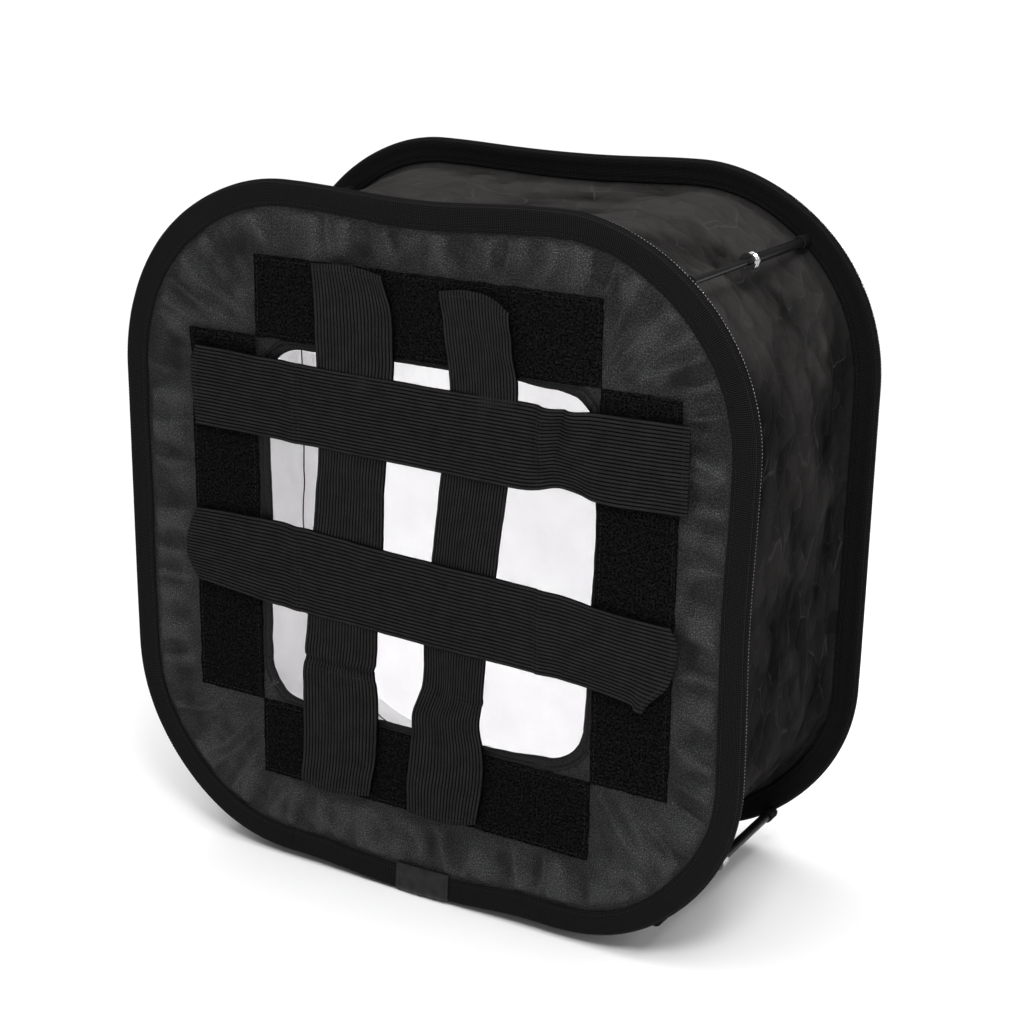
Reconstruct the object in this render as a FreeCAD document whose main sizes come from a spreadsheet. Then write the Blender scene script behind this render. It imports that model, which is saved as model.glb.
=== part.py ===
import FreeCAD, Part
import os
import Sketcher

# Collapsible fabric softbox for a square LED panel lamp, in millimetres.
# +Z is up, the lamp side faces -Y and the light leaves towards +Y. The origin is on the floor
# under the middle of the box. Two sprung hoops in black webbing hold a black rear panel and a
# white diffuser apart; four telescopic struts outside the walls keep the depth.

DIMENSIONS = {
    # Hoops and the webbing that is folded over them.
    "rim_half_width": 200.5,
    "rear_half_height": 201.0,
    "front_half_height": 204.5,
    "corner_radius": 115.0,
    "rim_depth": 161.0,
    "rear_plane_y": -78.75,
    "fin_width": 16.0,
    "bight_width": 5.0,
    "bight_thickness": 6.0,
    "bight_round": 2.4,
    "fin_thickness": 4.4,
    "fin_lap": 1.0,
    "seam_gap": 1.6,
    "hoop_inset": 1.6,
    "hoop_band": 1.2,
    "hoop_height": 4.0,
    "hoop_clearance": 0.3,
    "cloth_thickness": 0.5,
    "cloth_offset": 0.35,
    "cloth_edge_inset": 4.0,
    # Joint cover patches and the crimp sleeves under them.
    "cover_thickness": 0.5,
    "cover_length": 36.0,
    "cover_x": 5.5,
    "cover_height": 17.5,
    "crimp_length": 14.0,
    "crimp_wall": 0.22,
    "crimp_clearance": 0.03,
    # Rear panel: lamp opening with its hem, and the loop tapes round it.
    "panel_x": 2.5,
    "panel_z": 207.5,
    "opening_x": 5.0,
    "opening_z": 208.5,
    "opening_half_width": 104.5,
    "opening_half_height": 105.0,
    "opening_corner": 28.0,
    "hem_bight": 1.9,
    "hem_thickness": 2.0,
    "hem_width": 10.0,
    "tape_half_square": 109.0,
    "tape_width": 46.0,
    "tape_thickness": 1.6,
    # Elastic straps. Reaches and heights are measured from the middle of the tape square.
    "strap_width": 47.0,
    "strap_thickness": 1.5,
    "hook_thickness": 1.2,
    "hook_margin": 2.5,
    "hook_gap": 0.3,
    "peel_line": 107.0,
    "peel_gap": 0.3,
    "cross_lift": 1.8,
    "lift_start": 92.0,
    "lift_end": 78.0,
    "upper_left_reach": 154.5,
    "upper_left_z": 74.0,
    "upper_middle_z": 68.5,
    "upper_right_z": 72.0,
    "upper_right_reach": 158.0,
    "lower_left_reach": 156.5,
    "lower_left_z": -20.5,
    "lower_middle_z": -24.5,
    "lower_right_z": -33.5,
    "lower_right_reach": 154.5,
    "first_top_reach": 151.5,
    "first_top_x": -47.0,
    "first_middle_x": -47.5,
    "first_bottom_x": -58.5,
    "first_bottom_reach": 155.5,
    "second_top_reach": 145.0,
    "second_top_x": 35.0,
    "second_middle_x": 29.0,
    "second_bottom_x": 14.0,
    "second_bottom_reach": 156.0,
    # Side wall and its white lining.
    "wall_inset": 17.5,
    "wall_thickness": 0.6,
    "lining_gap": 1.0,
    "lining_thickness": 0.4,
    "lining_end_gap": 0.3,
    # Telescopic struts.
    "strut_x": 152.0,
    "strut_upper_z": 373.0,
    "strut_lower_z": 26.5,
    "rod_radius": 2.0,
    "rod_tip_y": 13.0,
    "bush_radius": 2.25,
    "bush_length": 4.0,
    "tube_radius": 2.8,
    "tube_bore": 2.35,
    "tube_mouth_y": 3.05,
    "pocket_radius": 4.2,
    "pocket_length": 9.0,
    "pocket_floor": 1.2,
    "collar_mouth_y": 1.0,
    "collar_length": 7.0,
    "collar_radius": 4.7,
    "collar_groove": 4.1,
    "collar_mouth_radius": 3.4,
    "collar_mouth_depth": 1.0,
    "collar_lip": 1.0,
    "collar_bore": 2.1,
    "collar_sleeve": 2.85,
    "groove_width": 1.0,
}

ORIGIN_POINT = -1
START, END, CENTRE = 1, 2, 3

doc = FreeCAD.newDocument("softbox")
sheet = doc.addObject("Spreadsheet::Sheet", "Dims")
for row, (alias, number) in enumerate(DIMENSIONS.items(), start=1):
    sheet.set(f"A{row}", alias)
    sheet.set(f"B{row}", str(number))
    sheet.setAlias(f"B{row}", alias)
doc.recompute()

sub_parts = []


def dims(formula):
    """Turn bare dimension names in a formula into references to the sheet."""
    words = formula.replace("(", " ( ").replace(")", " ) ").split()
    return " ".join(f"Dims.{word}" if word in DIMENSIONS else word for word in words)


def number(formula):
    """The present value of a formula in dimension names."""
    return float(sheet.evalExpression(dims(formula)))


def bind(item, field, formula):
    item.setExpression(field, dims(formula))


def keep(item, label):
    """Register an object as a sub-part; its label names its file."""
    item.Label = label
    sub_parts.append(item)
    return item


def place(item, x="0", y="0", z="0"):
    """Bind an object's position to formulas."""
    for axis, formula in zip("xyz", (x, y, z)):
        bind(item, f"Placement.Base.{axis}", formula)


# ---------------------------------------------------------------- sketches and features


def new_body(label, x="0", y="0", z="0", whole=True):
    """A body at a place; whole means that it is a sub-part as it stands."""
    body = doc.addObject("PartDesign::Body", label)
    place(body, x, y, z)
    return keep(body, label) if whole else body


def new_sketch(body, role, offset="0"):
    """A sketch on one of the body's own planes, moved along that plane's normal by a formula."""
    sketch = body.newObject("Sketcher::SketchObject", f"{body.Name}_sketch")
    plane = next(item for item in body.Origin.OriginFeatures if item.Role == role)
    sketch.AttachmentSupport = (plane, [""])
    sketch.MapMode = "FlatFace"
    bind(sketch, "AttachmentOffset.Base.z", offset)
    return sketch


def constrain(sketch, kind, *rest, formula=None):
    """Add a constraint; a dimensional one starts at its value and is bound to its formula."""
    if formula is None:
        sketch.addConstraint(Sketcher.Constraint(kind, *rest))
        return
    index = sketch.addConstraint(Sketcher.Constraint(kind, *rest, number(formula)))
    name = f"size{index}"
    sketch.renameConstraint(index, name)
    bind(sketch, f"Constraints.{name}", formula)


def draw_polygon(sketch, corners):
    """A closed polygon whose corners are pairs of formulas."""
    points = [FreeCAD.Vector(number(across), number(along), 0) for across, along in corners]
    count = len(points)
    lines = [
        sketch.addGeometry(Part.LineSegment(points[i], points[(i + 1) % count]))
        for i in range(count)
    ]
    for i in range(count):
        constrain(sketch, "Coincident", lines[i], END, lines[(i + 1) % count], START)
    for line, (across, along) in zip(lines, corners):
        constrain(sketch, "DistanceX", ORIGIN_POINT, START, line, START, formula=across)
        constrain(sketch, "DistanceY", ORIGIN_POINT, START, line, START, formula=along)


def draw_rounded_rectangle(sketch, half_width, half_height, radius):
    """A rounded rectangle about the sketch's origin: four sides joined by tangent arcs."""
    wide, high, bend = number(half_width), number(half_height), number(radius)
    side_x, side_z = wide - bend, high - bend
    up = FreeCAD.Vector(0, 0, 1)
    quarter = 1.5707963267948966
    corners = [(side_x, side_z), (-side_x, side_z), (-side_x, -side_z), (side_x, -side_z)]
    ends = [
        ((side_x, high), (-side_x, high)),
        ((-wide, side_z), (-wide, -side_z)),
        ((-side_x, -high), (side_x, -high)),
        ((wide, -side_z), (wide, side_z)),
    ]
    arcs = []
    sides = []
    for i, (x, z) in enumerate(corners):
        circle = Part.Circle(FreeCAD.Vector(x, z, 0), up, bend)
        arcs.append(sketch.addGeometry(Part.ArcOfCircle(circle, i * quarter, (i + 1) * quarter)))
        first, last = (FreeCAD.Vector(a, b, 0) for a, b in ends[i])
        sides.append(sketch.addGeometry(Part.LineSegment(first, last)))
    for i in range(4):
        constrain(sketch, "Tangent", arcs[i], END, sides[i], START)
        constrain(sketch, "Tangent", sides[i], END, arcs[(i + 1) % 4], START)
        constrain(sketch, "Horizontal" if i % 2 == 0 else "Vertical", sides[i])
    for arc in arcs[1:]:
        constrain(sketch, "Equal", arcs[0], arc)
    constrain(sketch, "Radius", arcs[0], formula=radius)
    constrain(sketch, "DistanceY", ORIGIN_POINT, START, sides[0], START, formula=half_height)
    constrain(sketch, "DistanceX", ORIGIN_POINT, START, sides[1], START, formula=f"0 - ({half_width})")
    constrain(sketch, "DistanceY", ORIGIN_POINT, START, sides[2], START, formula=f"0 - ({half_height})")
    constrain(sketch, "DistanceX", ORIGIN_POINT, START, sides[3], START, formula=half_width)


def feature(body, kind, name, sketch, symmetric=True, **formulas):
    """Add a PartDesign feature made from a sketch, with its sizes bound to formulas."""
    item = body.newObject(f"PartDesign::{kind}", f"{body.Name}_{name}")
    item.Profile = sketch
    if symmetric:
        item.SideType = "Symmetric"
    for field, formula in formulas.items():
        bind(item, field, formula)
    doc.recompute()
    return item


def rim_outline(sketch, half_height, inset):
    """The hoop's outline, drawn a given distance inside its outer edge."""
    draw_rounded_rectangle(
        sketch,
        f"rim_half_width - ({inset})",
        f"{half_height} - ({inset})",
        f"corner_radius - ({inset})",
    )


def rim_ring(body, kind, name, half_height, outer, inner, thickness, offset="0"):
    """A flat ring between two insets of the hoop's outline, padded or pocketed."""
    sketch = new_sketch(body, "XZ_Plane", offset)
    rim_outline(sketch, half_height, outer)
    rim_outline(sketch, half_height, inner)
    return feature(body, kind, name, sketch, Length=thickness)


def check_shape(before, after, label):
    """A cut that removes nothing is a mistake in its direction."""
    if after.Shape.Volume >= before.Shape.Volume:
        raise RuntimeError(f"{label}: the pocket removed nothing")


# ---------------------------------------------------------------- rims


def rim(prefix, half_height, plane_y):
    """One sprung hoop with its crimp sleeve, webbing binding and joint cover."""
    middle_z = f"cover_thickness + {half_height}"
    hoop = new_body(f"{prefix}_hoop", y=plane_y, z=middle_z)
    rim_ring(hoop, "Pad", "band", half_height, "hoop_inset", "hoop_inset + hoop_band", "hoop_height")

    binding = new_body(f"{prefix}_binding", y=plane_y, z=middle_z)
    bight = rim_ring(binding, "Pad", "bight", half_height, "0", "bight_width", "bight_thickness")
    outer = [
        f"Edge{i}"
        for i, edge in enumerate(bight.Shape.Edges, start=1)
        if lies_on_outer_rim(edge, half_height)
    ]
    rounded = binding.newObject("PartDesign::Fillet", f"{prefix}_binding_round")
    rounded.Base = (bight, outer)
    bind(rounded, "Radius", "bight_round")
    doc.recompute()
    legs = rim_ring(
        binding, "Pad", "legs", half_height, "bight_width - fin_lap", "fin_width", "fin_thickness"
    )
    gap = rim_ring(
        binding,
        "Pocket",
        "gap",
        half_height,
        "hoop_inset + hoop_band",
        "fin_width + fin_lap",
        "seam_gap",
    )
    check_shape(legs, gap, f"{prefix}_binding gap")
    channel = rim_ring(
        binding,
        "Pocket",
        "channel",
        half_height,
        "hoop_inset - hoop_clearance",
        "hoop_inset + hoop_band + hoop_clearance",
        "hoop_height + 2 * hoop_clearance",
    )
    check_shape(gap, channel, f"{prefix}_binding channel")

    joint_cover(f"{prefix}_joint_cover", plane_y)
    hoop_crimp(f"{prefix}_hoop_crimp", plane_y)


def lies_on_outer_rim(edge, half_height):
    """True for an edge of the ring's outer contour, on either face."""
    box = edge.BoundBox
    wide = number("rim_half_width")
    high = number(half_height)
    bend = number("corner_radius")
    point = edge.valueAt((edge.FirstParameter + edge.LastParameter) / 2)
    past_x = max(abs(point.x) - (wide - bend), 0)
    past_z = max(abs(point.z) - (high - bend), 0)
    reach = (past_x**2 + past_z**2) ** 0.5
    flat = box.YLength < 0.001
    return flat and abs(reach - bend) < 0.01


def joint_cover(label, plane_y):
    """A satin patch folded round the rim's bottom, over the place where the hoop's ends meet."""
    outside = "bight_thickness / 2 + cover_thickness"
    inside = "bight_thickness / 2"
    body = new_body(label, x="cover_x", y=plane_y, z="cover_thickness")
    sketch = new_sketch(body, "YZ_Plane")
    draw_polygon(
        sketch,
        [
            (f"0 - ({outside})", "0 - cover_thickness"),
            (outside, "0 - cover_thickness"),
            (outside, "cover_height"),
            (inside, "cover_height"),
            (inside, "0"),
            (f"0 - {inside}", "0"),
            (f"0 - {inside}", "cover_height"),
            (f"0 - ({outside})", "cover_height"),
        ],
    )
    feature(body, "Pad", "patch", sketch, Length="cover_length")


def hoop_crimp(label, plane_y):
    """A steel sleeve crimped over the hoop's two meeting ends, at the bottom of the rim."""
    play = "crimp_clearance"
    wall = "crimp_clearance + crimp_wall"
    low = "hoop_inset"
    high = "hoop_inset + hoop_band"
    half = "hoop_height / 2"
    body = new_body(label, x="cover_x", y=plane_y, z="cover_thickness")
    sketch = new_sketch(body, "YZ_Plane")
    for grow in (wall, play):
        draw_polygon(
            sketch,
            [
                (f"0 - ({half} + {grow})", f"{low} - ({grow})"),
                (f"{half} + {grow}", f"{low} - ({grow})"),
                (f"{half} + {grow}", f"{high} + {grow}"),
                (f"0 - ({half} + {grow})", f"{high} + {grow}"),
            ],
        )
    feature(body, "Pad", "sleeve", sketch, Length="crimp_length")


# ---------------------------------------------------------------- panels and walls

REAR_Z = "cover_thickness + rear_half_height"
FRONT_Z = "cover_thickness + front_half_height"
FRONT_Y = "rear_plane_y + rim_depth"


def rear_panel():
    """The black rear cloth, stretched inside the rear rim, with the lamp's opening in it."""
    body = new_body("rear_panel", y="rear_plane_y - cloth_offset", z=REAR_Z)
    sketch = new_sketch(body, "XZ_Plane")
    rim_outline(sketch, "rear_half_height", "cloth_edge_inset")
    cloth = feature(body, "Pad", "cloth", sketch, Length="cloth_thickness")
    hole = new_sketch(body, "XZ_Plane")
    draw_cloth_opening(hole)
    cut = feature(body, "Pocket", "opening", hole, Length="hem_thickness")
    check_shape(cloth, cut, "rear_panel")


def draw_cloth_opening(sketch):
    """The lamp opening grown by the hem's bight, drawn about its own centre."""
    bind(sketch, "AttachmentOffset.Base.x", "opening_x")
    bind(sketch, "AttachmentOffset.Base.y", f"opening_z - ({REAR_Z})")
    opening_outline(sketch, "hem_bight")


def opening_outline(sketch, grow):
    draw_rounded_rectangle(
        sketch,
        f"opening_half_width + {grow}",
        f"opening_half_height + {grow}",
        f"opening_corner + {grow}",
    )


def opening_hem():
    """Binding sewn round the opening: a rounded edge, and a leg that lies on the inner face."""
    body = new_body("opening_hem", x="opening_x", y="rear_plane_y - cloth_offset", z="opening_z")
    edge = new_sketch(body, "XZ_Plane")
    opening_outline(edge, "0")
    opening_outline(edge, "hem_bight")
    feature(body, "Pad", "edge", edge, Length="hem_thickness")
    leg = new_sketch(body, "XZ_Plane", "0 - cloth_thickness")
    opening_outline(leg, "hem_bight / 2")
    opening_outline(leg, "hem_width")
    feature(body, "Pad", "leg", leg, Length="cloth_thickness")


def diffuser():
    """The white front cloth, held in the front rim's seam."""
    body = new_body("front_diffuser", y=f"{FRONT_Y} + cloth_offset", z=FRONT_Z)
    sketch = new_sketch(body, "XZ_Plane")
    rim_outline(sketch, "front_half_height", "cloth_edge_inset")
    feature(body, "Pad", "cloth", sketch, Length="cloth_thickness")


def wall_tube(label, outer_inset, thickness, start, end):
    """A closed cloth tube from the rear outline to the front one, between two distances."""
    body = new_body(label, y="rear_plane_y", z=REAR_Z)
    shell = []
    for inset in (outer_inset, f"{outer_inset} + {thickness}"):
        rear = new_sketch(body, "XZ_Plane", f"0 - ({start})")
        rim_outline(rear, "rear_half_height", inset)
        front = new_sketch(body, "XZ_Plane", f"0 - ({end})")
        bind(front, "AttachmentOffset.Base.y", "front_half_height - rear_half_height")
        rim_outline(front, "front_half_height", inset)
        shell.append((rear, front))
    doc.recompute()
    (rear, front), (inner_rear, inner_front) = shell
    outside = body.newObject("PartDesign::AdditiveLoft", f"{label}_outside")
    outside.Profile = rear
    outside.Sections = [front]
    outside.Ruled = True
    doc.recompute()
    inside = body.newObject("PartDesign::SubtractiveLoft", f"{label}_inside")
    inside.Profile = inner_rear
    inside.Sections = [inner_front]
    inside.Ruled = True
    doc.recompute()
    check_shape(outside, inside, label)
    return body


def side_wall():
    """The black outer wall; a flange at each end lies in the rim's seam."""
    start = "cloth_offset - cloth_thickness / 2"
    end = f"rim_depth - ({start})"
    body = wall_tube("side_wall", "wall_inset", "wall_thickness", start, end)
    rim_ring(
        body,
        "Pad",
        "rear_flange",
        "rear_half_height",
        "cloth_edge_inset",
        "wall_inset + wall_thickness / 2",
        "cloth_thickness",
        offset="0 - cloth_offset",
    )
    flange = new_sketch(body, "XZ_Plane", "0 - (rim_depth - cloth_offset)")
    bind(flange, "AttachmentOffset.Base.y", "front_half_height - rear_half_height")
    rim_outline(flange, "front_half_height", "cloth_edge_inset")
    rim_outline(flange, "front_half_height", "wall_inset + wall_thickness / 2")
    feature(body, "Pad", "front_flange", flange, Length="cloth_thickness")


def wall_lining():
    """The white reflective lining, a little inside the wall."""
    start = "cloth_offset + cloth_thickness / 2 + lining_end_gap"
    wall_tube(
        "wall_lining",
        "wall_inset + wall_thickness + lining_gap",
        "lining_thickness",
        start,
        f"rim_depth - ({start})",
    )


# ---------------------------------------------------------------- loop tapes and straps


def loop_tape(label, x, z, length, height):
    """A flat strip of loop tape sewn on the panel's outer face."""
    tape = keep(doc.addObject("Part::Box", label), label)
    bind(tape, "Length", length)
    bind(tape, "Width", "tape_thickness")
    bind(tape, "Height", height)
    face = "rear_plane_y - cloth_offset - cloth_thickness / 2 - tape_thickness"
    place(tape, f"panel_x + {x}", face, f"panel_z + {z}")


def loop_tapes():
    side = "2 * tape_half_square"
    low = "( 0 - tape_half_square )"
    far = "( 0 - tape_half_square - tape_width )"
    loop_tape("loop_tape_top", low, "tape_half_square", side, "tape_width")
    loop_tape("loop_tape_bottom", low, far, side, "tape_width")
    loop_tape("loop_tape_left", far, low, "tape_width", side)
    loop_tape("loop_tape_right", "tape_half_square", low, "tape_width", side)


# Distances out of the rear rim's middle plane, towards the lamp.
TAPE_FACE = "cloth_offset + cloth_thickness / 2 + tape_thickness"
HOOK_INNER = f"{TAPE_FACE} + hook_gap"
STRAP_INNER = f"{HOOK_INNER} + hook_thickness"


def ribbon(label, upright, stations, width, inner, thickness):
    """A flat ribbon along X, or along Z when upright, through stations: each gives how far along
    it is, where its middle is across, and how far it is lifted off its usual layer."""
    body = new_body(label, x="panel_x", y="rear_plane_y", z="panel_z")
    sections = []
    for along, across, lift in stations:
        near = f"0 - ({inner} + {lift})"
        far = f"0 - ({inner} + {lift} + {thickness})"
        low = f"{across} - ({width}) / 2"
        high = f"{across} + ({width}) / 2"
        sketch = new_sketch(body, "XY_Plane" if upright else "YZ_Plane", along)
        if upright:
            draw_polygon(sketch, [(low, far), (high, far), (high, near), (low, near)])
        else:
            draw_polygon(sketch, [(far, low), (near, low), (near, high), (far, high)])
        sections.append(sketch)
    doc.recompute()
    loft = body.newObject("PartDesign::AdditiveLoft", f"{label}_loft")
    loft.Profile = sections[0]
    loft.Sections = sections[1:]
    loft.Ruled = True
    doc.recompute()


def between(start, middle, reach, along):
    """A strap's middle line at a distance along it, between its middle and one end."""
    return f"{middle} + ({start} - ({middle})) * ({along}) / {reach}"


def strap(label, upright, ends, middle, crossing):
    """One elastic strap: its run over the opening, and at each end a tab that peels off the
    loop tape with a hook patch under it."""
    stations = []
    for sign, (end_name, across, reach) in zip(("0 - ", ""), ends):
        marks = ["peel_line - peel_gap / 2", "lift_start", "lift_end"]
        lifts = ["0", "0", "cross_lift"] if crossing else ["0", "0", "0"]
        side = [
            (f"{sign}({mark})", between(across, middle, reach, mark), lift)
            for mark, lift in zip(marks, lifts)
        ]
        stations += side if sign else list(reversed(side))
        tab = [
            (f"{sign}({mark})", between(across, middle, reach, mark), "0")
            for mark in ("peel_line + peel_gap / 2", reach)
        ]
        ribbon(f"{label}_{end_name}_tab", upright, tab, "strap_width", STRAP_INNER, "strap_thickness")
        patch = [
            (f"{sign}({mark})", between(across, middle, reach, mark), "0")
            for mark in ("tape_half_square", f"{reach} - hook_margin")
        ]
        ribbon(
            f"{label}_{end_name}_hook",
            upright,
            patch,
            "strap_width - 2 * hook_margin",
            HOOK_INNER,
            "hook_thickness",
        )
    ribbon(label, upright, stations, "strap_width", STRAP_INNER, "strap_thickness")


def straps():
    strap(
        "cross_strap_upper",
        False,
        [("left", "upper_left_z", "upper_left_reach"), ("right", "upper_right_z", "upper_right_reach")],
        "upper_middle_z",
        True,
    )
    strap(
        "cross_strap_lower",
        False,
        [("left", "lower_left_z", "lower_left_reach"), ("right", "lower_right_z", "lower_right_reach")],
        "lower_middle_z",
        True,
    )
    strap(
        "upright_strap_left",
        True,
        [("bottom", "first_bottom_x", "first_bottom_reach"), ("top", "first_top_x", "first_top_reach")],
        "first_middle_x",
        False,
    )
    strap(
        "upright_strap_right",
        True,
        [("bottom", "second_bottom_x", "second_bottom_reach"), ("top", "second_top_x", "second_top_reach")],
        "second_middle_x",
        False,
    )


# ---------------------------------------------------------------- struts


def draw_circle(sketch, radius):
    circle = Part.Circle(FreeCAD.Vector(0, 0, 0), FreeCAD.Vector(0, 0, 1), number(radius))
    edge = sketch.addGeometry(circle)
    constrain(sketch, "Coincident", edge, CENTRE, ORIGIN_POINT, START)
    constrain(sketch, "Radius", edge, formula=radius)


def round_bar(label, x, z, start, end, radius, bore=None, whole=True):
    """A bar or tube along Y between two distances from the origin."""
    body = new_body(label, x=x, z=z, whole=whole)
    sketch = new_sketch(body, "XZ_Plane", f"0 - (({start}) + ({end})) / 2")
    draw_circle(sketch, radius)
    if bore:
        draw_circle(sketch, bore)
    feature(body, "Pad", "bar", sketch, Length=f"({end}) - ({start})")
    return body


def pocket(label, binding, x, z, low, high, socket_low, socket_high, bore):
    """A short blind sleeve on the rim's inner face that holds one end of a strut; its foot is cut
    to the webbing that it is sewn on."""
    body = round_bar(f"{label}_sleeve", x, z, low, high, "pocket_radius", whole=False)
    sketch = new_sketch(body, "XZ_Plane", f"0 - (({socket_low}) + ({socket_high})) / 2")
    draw_circle(sketch, bore)
    solid = body.Tip
    cut = feature(body, "Pocket", "socket", sketch, Length=f"({socket_high}) - ({socket_low})")
    check_shape(solid, cut, label)
    sewn = keep(doc.addObject("Part::Cut", label), label)
    sewn.Base, sewn.Tool = body, doc.getObject(binding)


def collar(label, x, z):
    """The chromed twist collar on the front tube's mouth, with two finger grooves."""
    body = new_body(label, x=x, y="collar_mouth_y", z=z)
    sketch = new_sketch(body, "XY_Plane")
    lip_end = "collar_mouth_depth + collar_lip"
    draw_polygon(
        sketch,
        [
            ("collar_mouth_radius", "0"),
            ("collar_radius", "0"),
            ("collar_radius", "2 * groove_width"),
            ("collar_groove", "2.4 * groove_width"),
            ("collar_groove", "3.2 * groove_width"),
            ("collar_radius", "3.6 * groove_width"),
            ("collar_radius", "4.4 * groove_width"),
            ("collar_groove", "4.8 * groove_width"),
            ("collar_groove", "5.6 * groove_width"),
            ("collar_radius", "6 * groove_width"),
            ("collar_radius", "collar_length"),
            ("collar_sleeve", "collar_length"),
            ("collar_sleeve", lip_end),
            ("collar_bore", lip_end),
            ("collar_bore", "collar_mouth_depth"),
            ("collar_mouth_radius", "collar_mouth_depth"),
        ],
    )
    turned = body.newObject("PartDesign::Revolution", f"{label}_turned")
    turned.Profile = sketch
    turned.ReferenceAxis = (sketch, ["V_Axis"])
    turned.Angle = 360
    doc.recompute()


def rod_bushes(corners):
    """The four plastic bushes on the rods' ends, which keep the rods in their tubes."""
    bushes = []
    for name, x, z in corners:
        rounds = []
        for part, radius in (("ring", "bush_radius"), ("hole", "rod_radius")):
            cylinder = doc.addObject("Part::Cylinder", f"bush_{part}_{name}")
            bind(cylinder, "Radius", radius)
            bind(cylinder, "Height", "bush_length")
            cylinder.Placement.Rotation = FreeCAD.Rotation(FreeCAD.Vector(1, 0, 0), -90)
            place(cylinder, x, "rod_tip_y - bush_length", z)
            rounds.append(cylinder)
        bush = doc.addObject("Part::Cut", f"bush_{name}")
        bush.Base, bush.Tool = rounds
        bushes.append(bush)
    group = keep(doc.addObject("Part::Compound", "rod_end_bushes"), "rod_end_bushes")
    group.Links = bushes


def struts():
    fin = "fin_thickness / 2"
    rear_start = f"rear_plane_y + {fin}"
    front_end = f"{FRONT_Y} - {fin}"
    rear_floor = f"{rear_start} + pocket_floor"
    front_floor = f"{front_end} - pocket_floor"
    corners = [
        ("upper_left", "0 - strut_x", "strut_upper_z"),
        ("upper_right", "strut_x", "strut_upper_z"),
        ("lower_left", "0 - strut_x", "strut_lower_z"),
        ("lower_right", "strut_x", "strut_lower_z"),
    ]
    for name, x, z in corners:
        rear_mouth = f"{rear_start} + pocket_length"
        front_mouth = f"{front_end} - pocket_length"
        round_bar(f"strut_rod_{name}", x, z, rear_floor, "rod_tip_y", "rod_radius")
        round_bar(f"strut_tube_{name}", x, z, "tube_mouth_y", front_floor, "tube_radius", "tube_bore")
        rear = (rear_start, rear_mouth, rear_floor, rear_mouth)
        front = (front_mouth, front_end, front_mouth, front_floor)
        pocket(f"rod_pocket_{name}", "rear_binding", x, z, *rear, "rod_radius")
        pocket(f"tube_pocket_{name}", "front_binding", x, z, *front, "tube_radius")
        collar(f"strut_collar_{name}", x, z)
    rod_bushes(corners)


# ---------------------------------------------------------------- build, check and write


def build():
    rim("rear", "rear_half_height", "rear_plane_y")
    rim("front", "front_half_height", FRONT_Y)
    rear_panel()
    opening_hem()
    diffuser()
    side_wall()
    wall_lining()
    loop_tapes()
    straps()
    struts()
    doc.recompute()


def write():
    broken = [item.Name for item in doc.Objects if {"Invalid", "Error"} & set(item.State)]
    if broken:
        raise RuntimeError(f"objects that failed to build: {broken}")
    for item in sub_parts:
        if item.Shape.isNull() or not item.Shape.isValid():
            raise RuntimeError(f"{item.Label} has no valid shape")
    os.makedirs("parts", exist_ok=True)
    for item in sub_parts:
        item.Shape.exportStep(f"parts/{item.Label}.step")
    print(f"{len(sub_parts)} sub-parts written")


build()
write()
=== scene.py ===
import math

import bpy
import numpy as np
from mathutils import Matrix, Vector


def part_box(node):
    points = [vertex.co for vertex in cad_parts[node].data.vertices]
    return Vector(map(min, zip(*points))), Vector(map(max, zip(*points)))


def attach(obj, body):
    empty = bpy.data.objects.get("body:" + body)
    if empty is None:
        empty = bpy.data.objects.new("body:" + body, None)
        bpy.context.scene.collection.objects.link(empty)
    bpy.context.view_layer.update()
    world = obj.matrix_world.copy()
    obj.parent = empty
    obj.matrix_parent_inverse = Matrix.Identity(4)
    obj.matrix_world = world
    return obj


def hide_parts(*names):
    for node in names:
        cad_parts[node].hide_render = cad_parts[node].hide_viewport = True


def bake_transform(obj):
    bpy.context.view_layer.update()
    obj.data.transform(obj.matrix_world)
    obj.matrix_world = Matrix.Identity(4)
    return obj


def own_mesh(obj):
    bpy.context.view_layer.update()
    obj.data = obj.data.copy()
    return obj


# Looks of a collapsible softbox for a square LED panel lamp, in metres. The lamp side faces -Y.
# Cloth, webbing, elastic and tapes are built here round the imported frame; struts stay as packed.

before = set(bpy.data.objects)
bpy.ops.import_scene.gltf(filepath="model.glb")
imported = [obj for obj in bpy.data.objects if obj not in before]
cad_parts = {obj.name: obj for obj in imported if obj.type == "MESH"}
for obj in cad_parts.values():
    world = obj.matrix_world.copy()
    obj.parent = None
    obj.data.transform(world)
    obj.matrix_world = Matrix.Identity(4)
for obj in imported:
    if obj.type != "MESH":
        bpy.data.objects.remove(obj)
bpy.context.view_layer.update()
MM = 0.001
TO_LAMP = np.array([0, -1, 0])
SIDE_SAMPLES, ARC_SAMPLES = 170, 150

# ---------------------------------------------------------------- numbers


def smooth(x):
    """0 below 0, 1 above 1, and an even curve between them."""
    x = np.clip(x, 0.0, 1.0)
    return x * x * (3 - 2 * x)


def bump(x, middle, width):
    """1 at the middle, falling away evenly over a width on both sides."""
    return np.exp(-(((x - middle) / width) ** 2))


def run_along(points):
    """How far along a path each of its points is."""
    return np.concatenate([[0], np.cumsum(np.linalg.norm(np.diff(points, axis=0), axis=1))])


def lattice(ix, iy, iz, seed):
    """A repeatable whole number for each lattice point."""
    h = (ix * 374761393 + iy * 668265263 + iz * 1440662683 + seed * 974634777) & 0xFFFFFFFF
    h = ((h ^ (h >> 13)) * 1274126177) & 0xFFFFFFFF
    return h ^ (h >> 16)


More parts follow.
